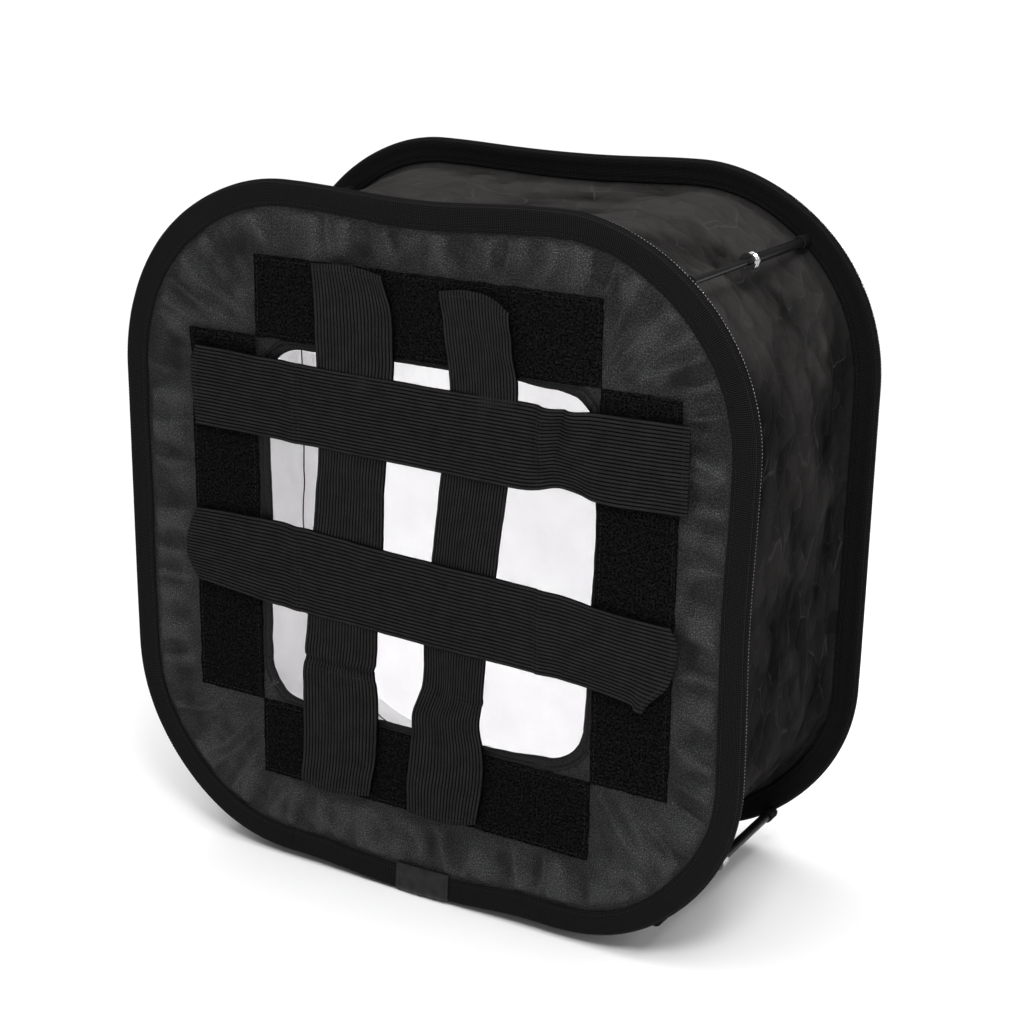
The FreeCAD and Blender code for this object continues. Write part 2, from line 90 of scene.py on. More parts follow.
def noise(points, size, seed=0):
    """Smooth noise from about -1 to 1; size is how far apart its lumps are, one number or three."""
    p = np.asarray(points, float) / np.asarray(size, float) + 512.0
    base = np.floor(p).astype(np.int64)
    f = p - base
    w = f * f * f * (f * (f * 6 - 15) + 10)
    total = np.zeros(p.shape[:-1])
    for corner in range(8):
        o = np.array([corner & 1, corner >> 1 & 1, corner >> 2 & 1])
        at = base + o
        h = lattice(at[..., 0], at[..., 1], at[..., 2], seed)
        slope = np.stack([h & 1023, h >> 10 & 1023, h >> 20 & 1023], -1) / 511.5 - 1
        total += np.prod(np.where(o == 1, w, 1 - w), -1) * (slope * (f - o)).sum(-1)
    return total * 1.6


def pile(x, y, z=0.0):
    """Three coordinates as one array of points."""
    return np.stack(np.broadcast_arrays(x, y, z), -1).astype(float)


def curve_through(marks, x):
    """A smooth curve through pairs of (x, value), flat beyond its ends."""
    marks = sorted(marks)
    xs = np.array([m[0] for m in marks], float)
    ys = np.array([m[1] for m in marks], float)
    i = np.clip(np.searchsorted(xs, x) - 1, 0, len(xs) - 2)
    t = np.clip((x - xs[i]) / (xs[i + 1] - xs[i]), 0, 1)
    slopes = np.gradient(ys, xs)
    h = xs[i + 1] - xs[i]
    a, b = slopes[i] * h, slopes[i + 1] * h
    start = ys[i] * (2 * t**3 - 3 * t**2 + 1) + a * (t**3 - 2 * t**2 + t)
    return start + ys[i + 1] * (3 * t**2 - 2 * t**3) + b * (t**3 - t**2)


# ---------------------------------------------------------------- meshes


def make(name, verts, faces, material, attributes=None, sharp=50):
    """An object from an array of points and a list of arrays of faces."""
    mesh = bpy.data.meshes.new(name)
    verts = np.asarray(verts, np.float32).reshape(-1, 3)
    mesh.vertices.add(len(verts))
    mesh.vertices.foreach_set("co", verts.ravel())
    sizes = np.concatenate([np.full(len(f), f.shape[1]) for f in faces])
    loops = np.concatenate([f.ravel() for f in faces]).astype(np.int32)
    mesh.loops.add(len(loops))
    mesh.loops.foreach_set("vertex_index", loops)
    mesh.polygons.add(len(sizes))
    starts = np.concatenate([[0], np.cumsum(sizes)[:-1]]).astype(np.int32)
    mesh.polygons.foreach_set("loop_start", starts)
    mesh.update(calc_edges=True)
    mesh.validate()
    mesh.polygons.foreach_set("use_smooth", np.ones(len(mesh.polygons), bool))
    if sharp:
        mesh.set_sharp_from_angle(angle=math.radians(sharp))
    for key, values in (attributes or {}).items():
        values = np.asarray(values, np.float32)
        kind = "FLOAT" if values.ndim == 1 else "FLOAT_VECTOR"
        layer = mesh.attributes.new(key, kind, "POINT")
        layer.data.foreach_set("value" if kind == "FLOAT" else "vector", values.ravel())
    mesh.materials.append(material)
    item = bpy.data.objects.new(name, mesh)
    bpy.context.scene.collection.objects.link(item)
    return item


def finish_piece(item, body, slot, *stands_for):
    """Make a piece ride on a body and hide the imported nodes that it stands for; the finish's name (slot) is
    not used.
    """
    if body:
        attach(item, body)
    if stands_for:
        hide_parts(*stands_for)
    return item


def sew(name, rows, length, radius, thread, body, slot_name):
    """Sewn stitches as one piece; each row is (points, directions, outward directions)."""
    seam = make(name, *stitch_mesh(rows, length, radius), thread, sharp=0)
    return finish_piece(seam, body, slot_name)


def grid_quads(rows, columns, wrap_rows=False, wrap_columns=False):
    r = np.arange(rows if wrap_rows else rows - 1)[:, None]
    c = np.arange(columns if wrap_columns else columns - 1)[None, :]
    r2, c2 = (r + 1) % rows, (c + 1) % columns
    quads = [r * columns + c, r * columns + c2, r2 * columns + c2, r2 * columns + c]
    return np.stack(np.broadcast_arrays(*quads), -1).reshape(-1, 4)


def outward(verts, faces, away):
    """The faces turned so that most of them look along away, one direction per point."""
    a, b, c = (verts[faces[0][:, i]] for i in (0, 1, 2))
    facing = (np.cross(b - a, c - a) * away[faces[0][:, 0]]).sum()
    return faces if facing > 0 else [f[:, ::-1] for f in faces]


def closed_sheet(front, back, wrap=False):
    """Points and faces of a thin solid between two grids; its columns wrap when it is a ring."""
    rows, columns = front.shape[:2]
    count = rows * columns
    verts = np.concatenate([front.reshape(-1, 3), back.reshape(-1, 3)])
    top = grid_quads(rows, columns, wrap_columns=wrap)
    ids = np.arange(count).reshape(rows, columns)
    c = np.arange(columns if wrap else columns - 1)
    c2 = (c + 1) % columns
    borders = [(ids[0, c2], ids[0, c]), (ids[-1, c], ids[-1, c2])]
    if not wrap:
        borders += [(ids[:-1, 0], ids[1:, 0]), (ids[1:, -1], ids[:-1, -1])]
    sides = [np.stack([a, b, b + count, a + count], -1) for a, b in borders]
    faces = [top, top[:, ::-1] + count, *sides]
    away = np.concatenate([(front - back).reshape(-1, 3)] * 2)
    return verts, outward(verts, faces, away)


def ring(points, closed_path=True):
    """Points and faces of a closed section (columns) carried along a path (rows)."""
    rows, columns = points.shape[:2]
    verts = points.reshape(-1, 3)
    faces = [grid_quads(rows, columns, wrap_rows=closed_path, wrap_columns=True)]
    if not closed_path:
        faces.append(np.arange(columns)[None, ::-1])
        faces.append((np.arange(columns) + (rows - 1) * columns)[None, :])
    middle = points.mean(1, keepdims=True)
    away = (points - middle).reshape(-1, 3)
    return verts, outward(verts, faces, away)


def resample(path, pitch, closed):
    """Points a pitch apart along a path, and the direction of the path at each."""
    path = np.asarray(path, float)
    if closed:
        path = np.vstack([path, path[:1]])
    run = run_along(path)
    count = max(1, int(run[-1] / pitch))
    at = (np.arange(count) + 0.5) * run[-1] / count
    step = min(pitch * 0.3, run[-1] * 0.2)

    def where(s):
        s = np.clip(s, 0, run[-1])
        return np.stack([np.interp(s, run, path[:, i]) for i in range(3)], -1)

    ahead = where(at + step) - where(at - step)
    return where(at), ahead / np.linalg.norm(ahead, axis=1, keepdims=True)


def stitch_mesh(rows, length, radius):
    """Points and faces of sewn stitches. Each row is (points, directions, outward directions)."""
    spots = np.vstack([r[0] for r in rows])
    ahead = np.vstack([r[1] for r in rows])
    out = np.vstack([np.broadcast_to(r[2], r[0].shape) for r in rows])
    out = out - ahead * (out * ahead).sum(1, keepdims=True)
    out /= np.linalg.norm(out, axis=1, keepdims=True)
    across = np.cross(ahead, out)
    turn = np.arange(6) * math.pi / 3
    rings = [(-0.5, 0.45, -0.9), (-0.3, 0.95, -0.1), (0.3, 0.95, -0.1), (0.5, 0.45, -0.9)]
    shape = np.array([(s * length, radius * size * math.cos(t), radius * (size * math.sin(t) + drop))
                      for s, size, drop in rings for t in turn])
    verts = spots[:, None] + ahead[:, None] * shape[None, :, 0:1]
    verts = verts + across[:, None] * shape[None, :, 1:2] + out[:, None] * shape[None, :, 2:3]
    quads = grid_quads(4, 6, wrap_columns=True)
    caps = np.array([[5, 4, 3, 2, 1, 0], [18, 19, 20, 21, 22, 23]])
    shift = (np.arange(len(spots)) * len(shape))[:, None, None]
    faces = [(quads[None] + shift).reshape(-1, 4), (caps[None] + shift).reshape(-1, 6)]
    middle = np.repeat(spots, len(shape), axis=0)
    verts = verts.reshape(-1, 3)
    return verts, outward(verts, faces, verts - middle)


# ---------------------------------------------------------------- materials


def add(tree, kind, settings=None, **inputs):
    """A shader node; an input is a number, a colour or another node's output."""
    n = tree.nodes.new(kind)
    for key, value in (settings or {}).items():
        setattr(n, key, value)
    for key, value in inputs.items():
        socket = n.inputs[int(key[1:])] if key[0] == "i" and key[1:].isdigit() else n.inputs[key]
        if isinstance(value, bpy.types.NodeSocket):
            tree.links.new(value, socket)
        else:
            socket.default_value = value
    return n


def grey(value, tint=(1.0, 1.0, 1.0)):
    return (value * tint[0], value * tint[1], value * tint[2], 1.0)


def start_material(name, **sockets):
    """A new material, its node tree and its one shader, with plain sockets set."""
    mat = bpy.data.materials.new(name)
    mat.use_nodes = True
    tree = mat.node_tree
    shader = tree.nodes["Principled BSDF"]
    for key, value in sockets.items():
        shader.inputs[key.replace("_", " ")].default_value = value
    return mat, tree, shader


def coordinates(tree, key="weave"):
    """A piece's own cloth coordinates in metres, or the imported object's when there are none."""
    if key is None:
        return tree.nodes.new("ShaderNodeTexCoord").outputs["Object"]
    n = tree.nodes.new("ShaderNodeAttribute")
    n.attribute_name = key
    return n.outputs["Vector"]


def stretched(tree, where, stretch):
    return add(tree, "ShaderNodeVectorMath", {"operation": "MULTIPLY"}, i0=where, i1=stretch).outputs[0]


def texture(tree, where, size, detail=2.0, roughness=0.5, stretch=None):
    """Noise whose lumps are about size metres across."""
    where = stretched(tree, where, stretch) if stretch else where
    settings = {"Scale": 1.0 / size, "Detail": detail, "Roughness": roughness}
    return add(tree, "ShaderNodeTexNoise", Vector=where, **settings).outputs["Fac"]


def ramp(tree, value, low, high, start=0.0, end=1.0):
    """A value mapped from one range to another, clamped."""
    limits = {"From Min": low, "From Max": high, "To Min": start, "To Max": end}
    return add(tree, "ShaderNodeMapRange", {"clamp": True}, Value=value, **limits).outputs[0]


def blend_colours(tree, share, first, second):
    n = tree.nodes.new("ShaderNodeMix")
    n.data_type = "RGBA"
    for socket, value in zip((n.inputs[0], n.inputs[6], n.inputs[7]), (share, first, second)):
        if isinstance(value, bpy.types.NodeSocket):
            tree.links.new(value, socket)
        else:
            socket.default_value = value
    return n.outputs[2]


def waves(tree, where, axis, pitch):
    """Even waves from 0 to 1 along one axis of the cloth's coordinates."""
    part = add(tree, "ShaderNodeSeparateXYZ", Vector=where).outputs[axis]
    turned = add(tree, "ShaderNodeMath", {"operation": "MULTIPLY"}, i0=part, i1=2 * math.pi / pitch)
    sine = add(tree, "ShaderNodeMath", {"operation": "SINE"}, i0=turned.outputs[0])
    return ramp(tree, sine.outputs[0], -1.0, 1.0)


def times(tree, a, b):
    return add(tree, "ShaderNodeMath", {"operation": "MULTIPLY"}, i0=a, i1=b).outputs[0]


def plus(tree, a, b):
    return add(tree, "ShaderNodeMath", {"operation": "ADD"}, i0=a, i1=b).outputs[0]


def relief(tree, shader, height, depth, strength=1.0):
    """Fine relief of a given depth in metres."""
    n = add(tree, "ShaderNodeBump", Strength=strength, Distance=depth, Height=height)
    tree.links.new(n.outputs[0], shader.inputs["Normal"])


def wire(tree, shader, key, value):
    tree.links.new(value, shader.inputs[key])


def tones(tree, value, low, high, dark, light):
    """A grey that goes from dark to light as a value goes from low to high."""
    return blend_colours(tree, ramp(tree, value, low, high), as_colour(dark), as_colour(light))


def as_colour(tone):
    return tone if isinstance(tone, tuple) else grey(tone)


def scalar(tree, key):
    """A piece's own attribute with one value per point."""
    coordinates(tree, key)
    return tree.nodes[-1].outputs["Fac"]


def webbing_material():
    mat, tree, shader = start_material("webbing", Roughness=0.7, Specular_IOR_Level=0.03)
    at = coordinates(tree)
    rows = waves(tree, at, 0, 1.15 * MM)
    columns = waves(tree, at, 1, 0.9 * MM)
    weave = ramp(tree, times(tree, rows, columns), 0.05, 0.7)
    dark = blend_colours(tree, weave, grey(0.001), grey(0.0228))
    mottle = ramp(tree, texture(tree, at, 6 * MM), 0.3, 0.7, 0, 0.5)
    wire(tree, shader, "Base Color", blend_colours(tree, mottle, dark, grey(0.0078)))
    relief(tree, shader, weave, 0.22 * MM)
    return mat


def panel_material():
    """Calendered nylon with painted light: painted shade in its dents, and a painted sheen with bright
    painted glints where it stands out and in broad patches.
    """
    mat, tree, shader = start_material("panel_cloth", Specular_IOR_Level=0.08)
    at = coordinates(tree)
    raised = scalar(tree, "raised")
    grain = texture(tree, at, 1.0 * MM, 3.0, 0.7)
    glint_specks = ramp(tree, texture(tree, at, 0.75 * MM, 3.0, 0.7), 0.5, 0.7)
    patches = texture(tree, at, 22 * MM, 4.0, 0.6)
    # Painted sheen: paler where the cloth stands out and in broad patches.
    wear_and_sheen = plus(tree, times(tree, patches, 0.5), times(tree, raised, 0.5))
    cool = (0.99, 1.0, 1.04)
    base = tones(tree, grain, 0.38, 0.64, grey(0.0012, (0.97, 0.99, 1.06)), grey(0.0188, cool))
    base = blend_colours(tree, ramp(tree, wear_and_sheen, 0.42, 0.7, 0.0, 0.6), base, grey(0.027, cool))
    # Painted glints: bright specks, more of them where the painted sheen is.
    bright = times(tree, glint_specks, ramp(tree, wear_and_sheen, 0.36, 0.62, 0.14, 0.75))
    base = blend_colours(tree, bright, base, grey(0.15, (0.99, 1.0, 1.02)))
    # Painted shade: darker in the dents.
    base = blend_colours(tree, ramp(tree, raised, 0.1, 0.4, 0.6, 0.0), base, grey(0.003))
    wire(tree, shader, "Base Color", blend_colours(tree, scalar(tree, "inner"), base, grey(0.88)))
    wire(tree, shader, "Roughness", ramp(tree, grain, 0.3, 0.7, 0.6, 0.42))
    relief(tree, shader, plus(tree, grain, times(tree, texture(tree, at, 3 * MM), 0.9)), 0.26 * MM)
    return mat


def hem_material():
    mat, tree, shader = start_material("hem_tape", Roughness=0.5, Specular_IOR_Level=0.1)
    at = coordinates(tree)
    grain = texture(tree, at, 0.9 * MM, 3.0)
    wire(tree, shader, "Base Color", tones(tree, grain, 0.35, 0.65, 0.0016, 0.0123))
    relief(tree, shader, plus(tree, grain, texture(tree, at, 4 * MM)), 0.25 * MM)
    return mat


def satin_material():
    mat, tree, shader = start_material("satin_patch", Roughness=0.42, Specular_IOR_Level=0.2)
    at = coordinates(tree)
    threads = waves(tree, at, 1, 0.5 * MM)
    mottle = texture(tree, at, 5 * MM)
    wire(tree, shader, "Base Color", tones(tree, mottle, 0.3, 0.7, 0.006, 0.014))
    relief(tree, shader, plus(tree, times(tree, threads, 0.3), mottle), 0.15 * MM)
    return mat


def elastic_material():
    """Ribbed elastic with painted light: painted shade makes it near black between its ribs, and painted
    glints are pale flecks on their crests.
    """
    mat, tree, shader = start_material("ribbed_elastic", Roughness=0.6, Specular_IOR_Level=0.03)
    at = coordinates(tree)
    crest = scalar(tree, "crest")
    mottle = texture(tree, at, 9 * MM, 2.0, 0.5)
    fleck = texture(tree, at, 0.9 * MM, 2.0)
    # Painted shade: near black in the grooves between the ribs.
    tone = tones(tree, crest, 0.3, 0.95, 0.0002, 0.0167)
    tone = blend_colours(tree, ramp(tree, mottle, 0.35, 0.7, 0.0, 0.45), tone, grey(0.004))
    # Painted glints: pale flecks, kept to the rib crests where the light falls.
    crest_glints = times(tree, ramp(tree, fleck, 0.5, 0.72, 0.0, 0.4), ramp(tree, crest, 0.3, 0.8))
    wire(tree, shader, "Base Color", blend_colours(tree, crest_glints, tone, grey(0.0345)))
    relief(tree, shader, fleck, 0.1 * MM)
    return mat


def loop_material():
    mat, tree, shader = start_material("loop_tape", Roughness=0.95, Specular_IOR_Level=0.0)
    at = coordinates(tree)
    fuzz = texture(tree, at, 1.2 * MM, 3.0, 0.75)
    clumps = ramp(tree, texture(tree, at, 4 * MM, 2.0), 0.4, 0.7, 0, 0.45)
    tone = tones(tree, fuzz, 0.4, 0.66, 0.0001, 0.0142)
    wire(tree, shader, "Base Color", blend_colours(tree, clumps, tone, grey(0.0016)))
    relief(tree, shader, fuzz, 0.8 * MM)
    return mat


def hook_material():
    mat, tree, shader = start_material("hook_tape", Roughness=0.45)
    grain = texture(tree, coordinates(tree), 0.7 * MM, 2.0)
    wire(tree, shader, "Base Color", tones(tree, grain, 0.3, 0.7, 0.006, 0.022))
    relief(tree, shader, grain, 0.2 * MM)
    return mat


def creased_cells(tree, where, size, stretch):
    """A random tone for each facet of creased cloth, for painted facet shading, and how near the crease round
    it is.
    """
    where = stretched(tree, where, stretch)
    wander = add(tree, "ShaderNodeTexNoise", Vector=where, Scale=1.1 / size, Detail=3.0).outputs["Color"]
    reach = stretched(tree, wander, (0.55 * size, 0.55 * size, 0.0))
    where = add(tree, "ShaderNodeVectorMath", {"operation": "ADD"}, i0=where, i1=reach).outputs[0]

    def cells(feature, output):
        node = add(tree, "ShaderNodeTexVoronoi", {"feature": feature}, Vector=where, Scale=1.0 / size)
        return node.outputs[output]

    return ramp(tree, cells("F1", "Color"), 0.2, 0.8), cells("DISTANCE_TO_EDGE", "Distance")


def nylon_material():
    """Thin crumpled nylon with painted light: each facet has its own tone as painted facet shading, the
    creases between them get a painted sheen, and the painted light share makes the top wall paler and sunken
    folds darker.
    """
    mat, tree, shader = start_material("wall_cloth", Specular_IOR_Level=0.0)
    at = coordinates(tree)
    raised = scalar(tree, "raised")
    broad = texture(tree, at, 26 * MM, 3.0)
    large, rim = creased_cells(tree, at, 19 * MM, (0.5, 1.0, 1.0))
    small, line = creased_cells(tree, at, 8 * MM, (0.6, 1.0, 1.0))
    # Painted facet shading from each facet's random tone, plus the painted light share: paler on the top
    # wall, darker where folds sink in.
    tone = plus(tree, times(tree, plus(tree, large, small), 0.14), times(tree, raised, 0.72))
    tone = blend_colours(tree, tone, grey(0.0015, (1.03, 1.0, 0.98)), grey(0.036, (1.04, 0.99, 0.975)))
    # Painted sheen along the creases.
    long_crease_sheen = times(tree, ramp(tree, rim, 0.0, 0.022, 0.45, 0.0), ramp(tree, broad, 0.5, 0.62))
    tone = blend_colours(tree, long_crease_sheen, tone, grey(0.06, (1.03, 1.0, 0.99)))
    short_crease_sheen = times(tree, ramp(tree, line, 0.0, 0.03, 0.3, 0.0), ramp(tree, broad, 0.5, 0.38))
    tone = blend_colours(tree, short_crease_sheen, tone, grey(0.05))
    wire(tree, shader, "Base Color", tone)
    wire(tree, shader, "Roughness", ramp(tree, small, 0.0, 1.0, 0.4, 0.55))
    height = times(tree, ramp(tree, line, 0.0, 0.15, 1.0, 0.0), 0.5)
    relief(tree, shader, plus(tree, ramp(tree, rim, 0.0, 0.15, 1.0, 0.0), height), 0.4 * MM)
    return mat


def pale_cloth_material(name, tone, behind, crumple):
    """White cloth that lets some of the light behind it through."""
    mat, tree, shader = start_material(name, Roughness=0.6)
    at = coordinates(tree)
    weave = plus(tree, waves(tree, at, 0, 0.7 * MM), waves(tree, at, 1, 0.7 * MM))
    soft = texture(tree, at, 30 * MM, 3.0)
    colour = tones(tree, soft, 0.3, 0.7, grey(tone * 0.94, (1, 0.99, 1.0)), grey(tone, (1, 0.995, 1.0)))
    wire(tree, shader, "Base Color", colour)
    relief(tree, shader, plus(tree, times(tree, weave, 0.05), times(tree, soft, crumple)), 0.6 * MM)
    through = add(tree, "ShaderNodeBsdfTranslucent", Color=colour)
    both = add(tree, "ShaderNodeMixShader", i0=behind)
    tree.links.new(shader.outputs[0], both.inputs[1])
    tree.links.new(through.outputs[0], both.inputs[2])
    tree.links.new(both.outputs[0], tree.nodes["Material Output"].inputs["Surface"])
    return mat


def thread_material(name, low, high):
    mat, tree, shader = start_material(name, Roughness=0.55, Specular_IOR_Level=0.2)
    twist = texture(tree, coordinates(tree, None), 0.5 * MM, 1.0)
    wire(tree, shader, "Base Color", tones(tree, twist, 0.35, 0.65, low, high))
    relief(tree, shader, twist, 0.1 * MM)
    return mat


def metal_material(name, tone, metal, rough_low, rough_high, scratch):
    """Metal or lacquer with fine wear; scratch stretches the wear along the piece."""
    mat, tree, shader = start_material(name, Metallic=metal, Specular_IOR_Level=0.5 if metal else 0.15)
    wear = texture(tree, coordinates(tree, None), 1.6 * MM, 4.0, 0.6, scratch)
    wear_and_sheen = (*(min(1.0, v * 1.25) for v in tone[:3]), 1.0)
    wire(tree, shader, "Roughness", ramp(tree, wear, 0.35, 0.7, rough_low, rough_high))
    wire(tree, shader, "Base Color", tones(tree, wear, 0.3, 0.75, tone, wear_and_sheen))
    relief(tree, shader, wear, 0.02 * MM)
    return mat


WEBBING = webbing_material()
PANEL = panel_material()
HEM = hem_material()
SATIN = satin_material()
ELASTIC = elastic_material()
LOOP = loop_material()
HOOK = hook_material()
NYLON = nylon_material()
LINING = pale_cloth_material("lining_cloth", 0.97, 0.02, 0.9)
DIFFUSER = pale_cloth_material("diffuser_cloth", 0.94, 0.5, 0.35)
DARK_THREAD = thread_material("dark_thread", 0.003, 0.012)
BLACK_THREAD = thread_material("black_thread", 0.001, 0.004)
# Pale dots for the painted highlight along the webbing's nose.
NOSE_HIGHLIGHT_DOTS = thread_material("painted_nose_highlight", 0.16, 0.42)
LACQUER = metal_material("rod_lacquer", grey(0.008), 0.0, 0.2, 0.3, (1.0, 0.1, 1.0))
TUBE_LACQUER = metal_material("tube_lacquer", grey(0.006), 0.0, 0.3, 0.42, (1.0, 0.1, 1.0))
CHROME = metal_material("chrome", grey(0.4, (1.0, 1.01, 1.03)), 1.0, 0.1, 0.2, None)
STEEL = metal_material("spring_steel", grey(0.3, (0.97, 1.0, 1.05)), 1.0, 0.25, 0.4, (1.0, 0.2, 1.0))
PLASTIC = metal_material("bush_plastic", grey(0.05), 0.0, 0.45, 0.6, None)

# ---------------------------------------------------------------- outlines

CORNER = 115 * MM


def rounded_rectangle(half_width, half_height, radius):
    """Points of a rounded rectangle round the origin, and outward directions, as (x, z)."""
    w, h = half_width - radius, half_height - radius
    along = np.arange(SIDE_SAMPLES) / SIDE_SAMPLES * 2 - 1
    turn = np.arange(ARC_SAMPLES) / ARC_SAMPLES * math.pi / 2
    points, out = [], []
    for k in range(4):
        angle = k * math.pi / 2
        c, s = round(math.cos(angle)), round(math.sin(angle))
        far, half, corner = (h + radius, w, (w, h)) if k % 2 == 0 else (w + radius, h, (h, w))
        side = np.stack([along * half, np.full(SIDE_SAMPLES, -far)], -1)
        face = np.tile([0.0, -1.0], (SIDE_SAMPLES, 1))
        arc_out = np.stack([np.sin(turn), -np.cos(turn)], -1)
        arc = np.array([corner[0], -corner[1]]) + radius * arc_out
        spin = np.array([[c, s], [-s, c]])
        points += [side @ spin, arc @ spin]
        out += [face @ spin, arc_out @ spin]
    return np.vstack(points), np.vstack(out)


class Rim:
    """One hoop's outline with the slight bows that its spring takes up."""

    def __init__(self, name, bows):
        low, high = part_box(f"{name}_binding")
        self.name = name
        self.body = f"{name}_frame"
        self.centre = np.array([(low.x + high.x) / 2, (low.z + high.z) / 2])
        self.half = ((high.x - low.x) / 2, (high.z - low.z) / 2)
        self.y = (low.y + high.y) / 2
        edge, self.out = rounded_rectangle(*self.half, CORNER)
        angle = np.degrees(np.arctan2(edge[:, 1], edge[:, 0]))
        self.bow = np.zeros(len(edge))
        for at, reach, width in bows:
            self.bow += reach * MM * bump((angle - at + 180) % 360 - 180, 0, width)
        steps = np.linalg.norm(np.diff(edge, axis=0, append=edge[:1]), axis=1)
        self.run = np.concatenate([[0], np.cumsum(steps)[:-1]])
        self.length = steps.sum()
        self.angle = angle

    def edge(self, inset):
        """The outline a distance inside the outer edge, as (x, z) for every station."""
        points, _ = rounded_rectangle(self.half[0] - inset, self.half[1] - inset, CORNER - inset)
        return points + self.centre + self.out * self.bow[:, None]

    def place(self, inset, depth):
        """Points in space for insets and depths, one row per station and one column per pair."""
        base = self.edge(0)[:, None] - self.out[:, None] * np.asarray(inset)[..., None]
        depth = np.broadcast_to(np.asarray(depth) + self.y, base.shape[:2])
        return pile(base[..., 0], depth, base[..., 1])


REAR = Rim("rear", [(0, -2, 16), (67, 2.4, 12), (90, -1.2, 10), (113, 2.4, 12), (135, 1.6, 12),
                    (225, -3, 16), (249, -3.6, 11), (291, -5, 12), (315, -2, 14)])
FRONT = Rim("front", [(45, 1, 14), (67, 2.8, 12), (113, 2.2, 12), (225, -3, 16), (249, -3.4, 11),
                      (291, -4, 12), (313, -3.4, 14)])
STATIONS = len(REAR.run)

# ---------------------------------------------------------------- rims


def webbing_half_section():
    """(inset, depth) in mm from the nose of the fold round one leg to the inside of the nose."""
    nose = [(2.6 * (1 - math.cos(a)), 3.0 * math.sin(a)) for a in np.radians([0, 18, 36, 54, 72, 90])]
    leg = [(3.8, 3.04), (5.0, 2.96), (6.2, 2.7), (7.6, 2.45), (9.4, 2.35), (11.2, 2.33), (12.6, 2.26),
           (13.3, 1.98), (13.9, 1.98), (14.6, 2.2), (15.4, 2.12), (15.9, 1.8), (16.0, 1.35), (15.8, 0.9)]
    inside = [(12.0, 0.8), (8.0, 0.8), (5.0, 0.8), (4.2, 1.1), (3.5, 2.32), (1.5, 2.32), (1.3, 1.0)]
    return nose + leg + inside


def webbing(rim):
    """The webbing folded over a hoop, as one closed band, its two rows of stitching, and a painted highlight
    of pale dots along its nose.
    """
    half = np.array(webbing_half_section())
    section = np.vstack([half, half[:0:-1] * [1, -1]]) * MM
    inset, depth = section[:, 0] * np.where(section[:, 0] > 5 * MM, 0.93, 1.0), section[:, 1]
    loop = pile(np.cos(rim.run / rim.length * 2 * math.pi), np.sin(rim.run / rim.length * 2 * math.pi))
    loop = loop * rim.length / (2 * math.pi)
    sway = noise(loop, 55 * MM, 3) * 0.7 * MM + noise(loop, 17 * MM, 4) * 0.25 * MM
    share = smooth((inset - 4 * MM) / (12 * MM))
    insets = inset[None] + sway[:, None] * share[None]
    lumps = noise(loop[:, None] + pile(0, 0, inset * 1.5)[None], 13 * MM, 5) * 0.16 * MM
    leg = smooth((inset - 6 * MM) / (5 * MM)) * (np.abs(depth) > 1.2 * MM)
    tilt = noise(loop, 80 * MM, 6) * 0.35 * MM
    depths = depth[None] + lumps * np.sign(depth)[None] + tilt[:, None] * leg[None]
    weave = pile(rim.run[:, None], run_along(section)[None, :]).reshape(-1, 3)
    mesh = ring(rim.place(insets, depths))
    piece = make(f"{rim.name}_webbing", *mesh, WEBBING, {"weave": weave}, sharp=70)
    finish_piece(piece, rim.body, "webbing", f"{rim.name}_binding")
    rows, bright = [], []
    for side in (1, -1):
        line = rim.place((12.65 * MM + sway * 0.9)[:, None], (side * 2.06 * MM + tilt * 0.9)[:, None])[:, 0]
        spots, ahead = resample(line, 2.6 * MM, True)
        rows.append((spots, ahead, np.array([0, side, 0])))
    # The first row is pale dots along the nose, a painted highlight where the weave catches the light; the
    # second is black stitching.
    for inset_mm, depth_mm in ((0.72, 2.3), (1.5, -2.7)):
        line = rim.place(np.full((STATIONS, 1), inset_mm * MM), np.full((STATIONS, 1), depth_mm * MM))[:, 0]
        spots, ahead = resample(line, 1.9 * MM, True)
        around = spots[:, [0, 2]] - rim.centre
        out = pile(around[:, 0], np.full(len(around), 0.25 * math.copysign(1, depth_mm)), around[:, 1])
        (bright if depth_mm > 0 else rows).append((spots, ahead, out))
    seam = sew(f"{rim.name}_rim_stitching", rows, 1.9 * MM, 0.26 * MM, BLACK_THREAD, rim.body, "webbing")
    # Painted highlight: pale dots along the webbing's nose.
    edge_name = f"{rim.name}_rim_nose_highlight_dots"
    pale = sew(edge_name, bright, 1.1 * MM, 0.25 * MM, NOSE_HIGHLIGHT_DOTS, rim.body, "webbing")


def hoop_band(rim):
    """The spring steel band inside the webbing's fold."""
    section = np.array([(1.6, -2.0), (2.8, -2.0), (2.8, 2.0), (1.6, 2.0)]) * MM
    inset, depth = (np.broadcast_to(section[:, i], (STATIONS, len(section))) for i in (0, 1))
    band = make(f"{rim.name}_hoop_band", *ring(rim.place(inset, depth)), STEEL, sharp=30)
    finish_piece(band, rim.body, "spring_steel", f"{rim.name}_hoop")


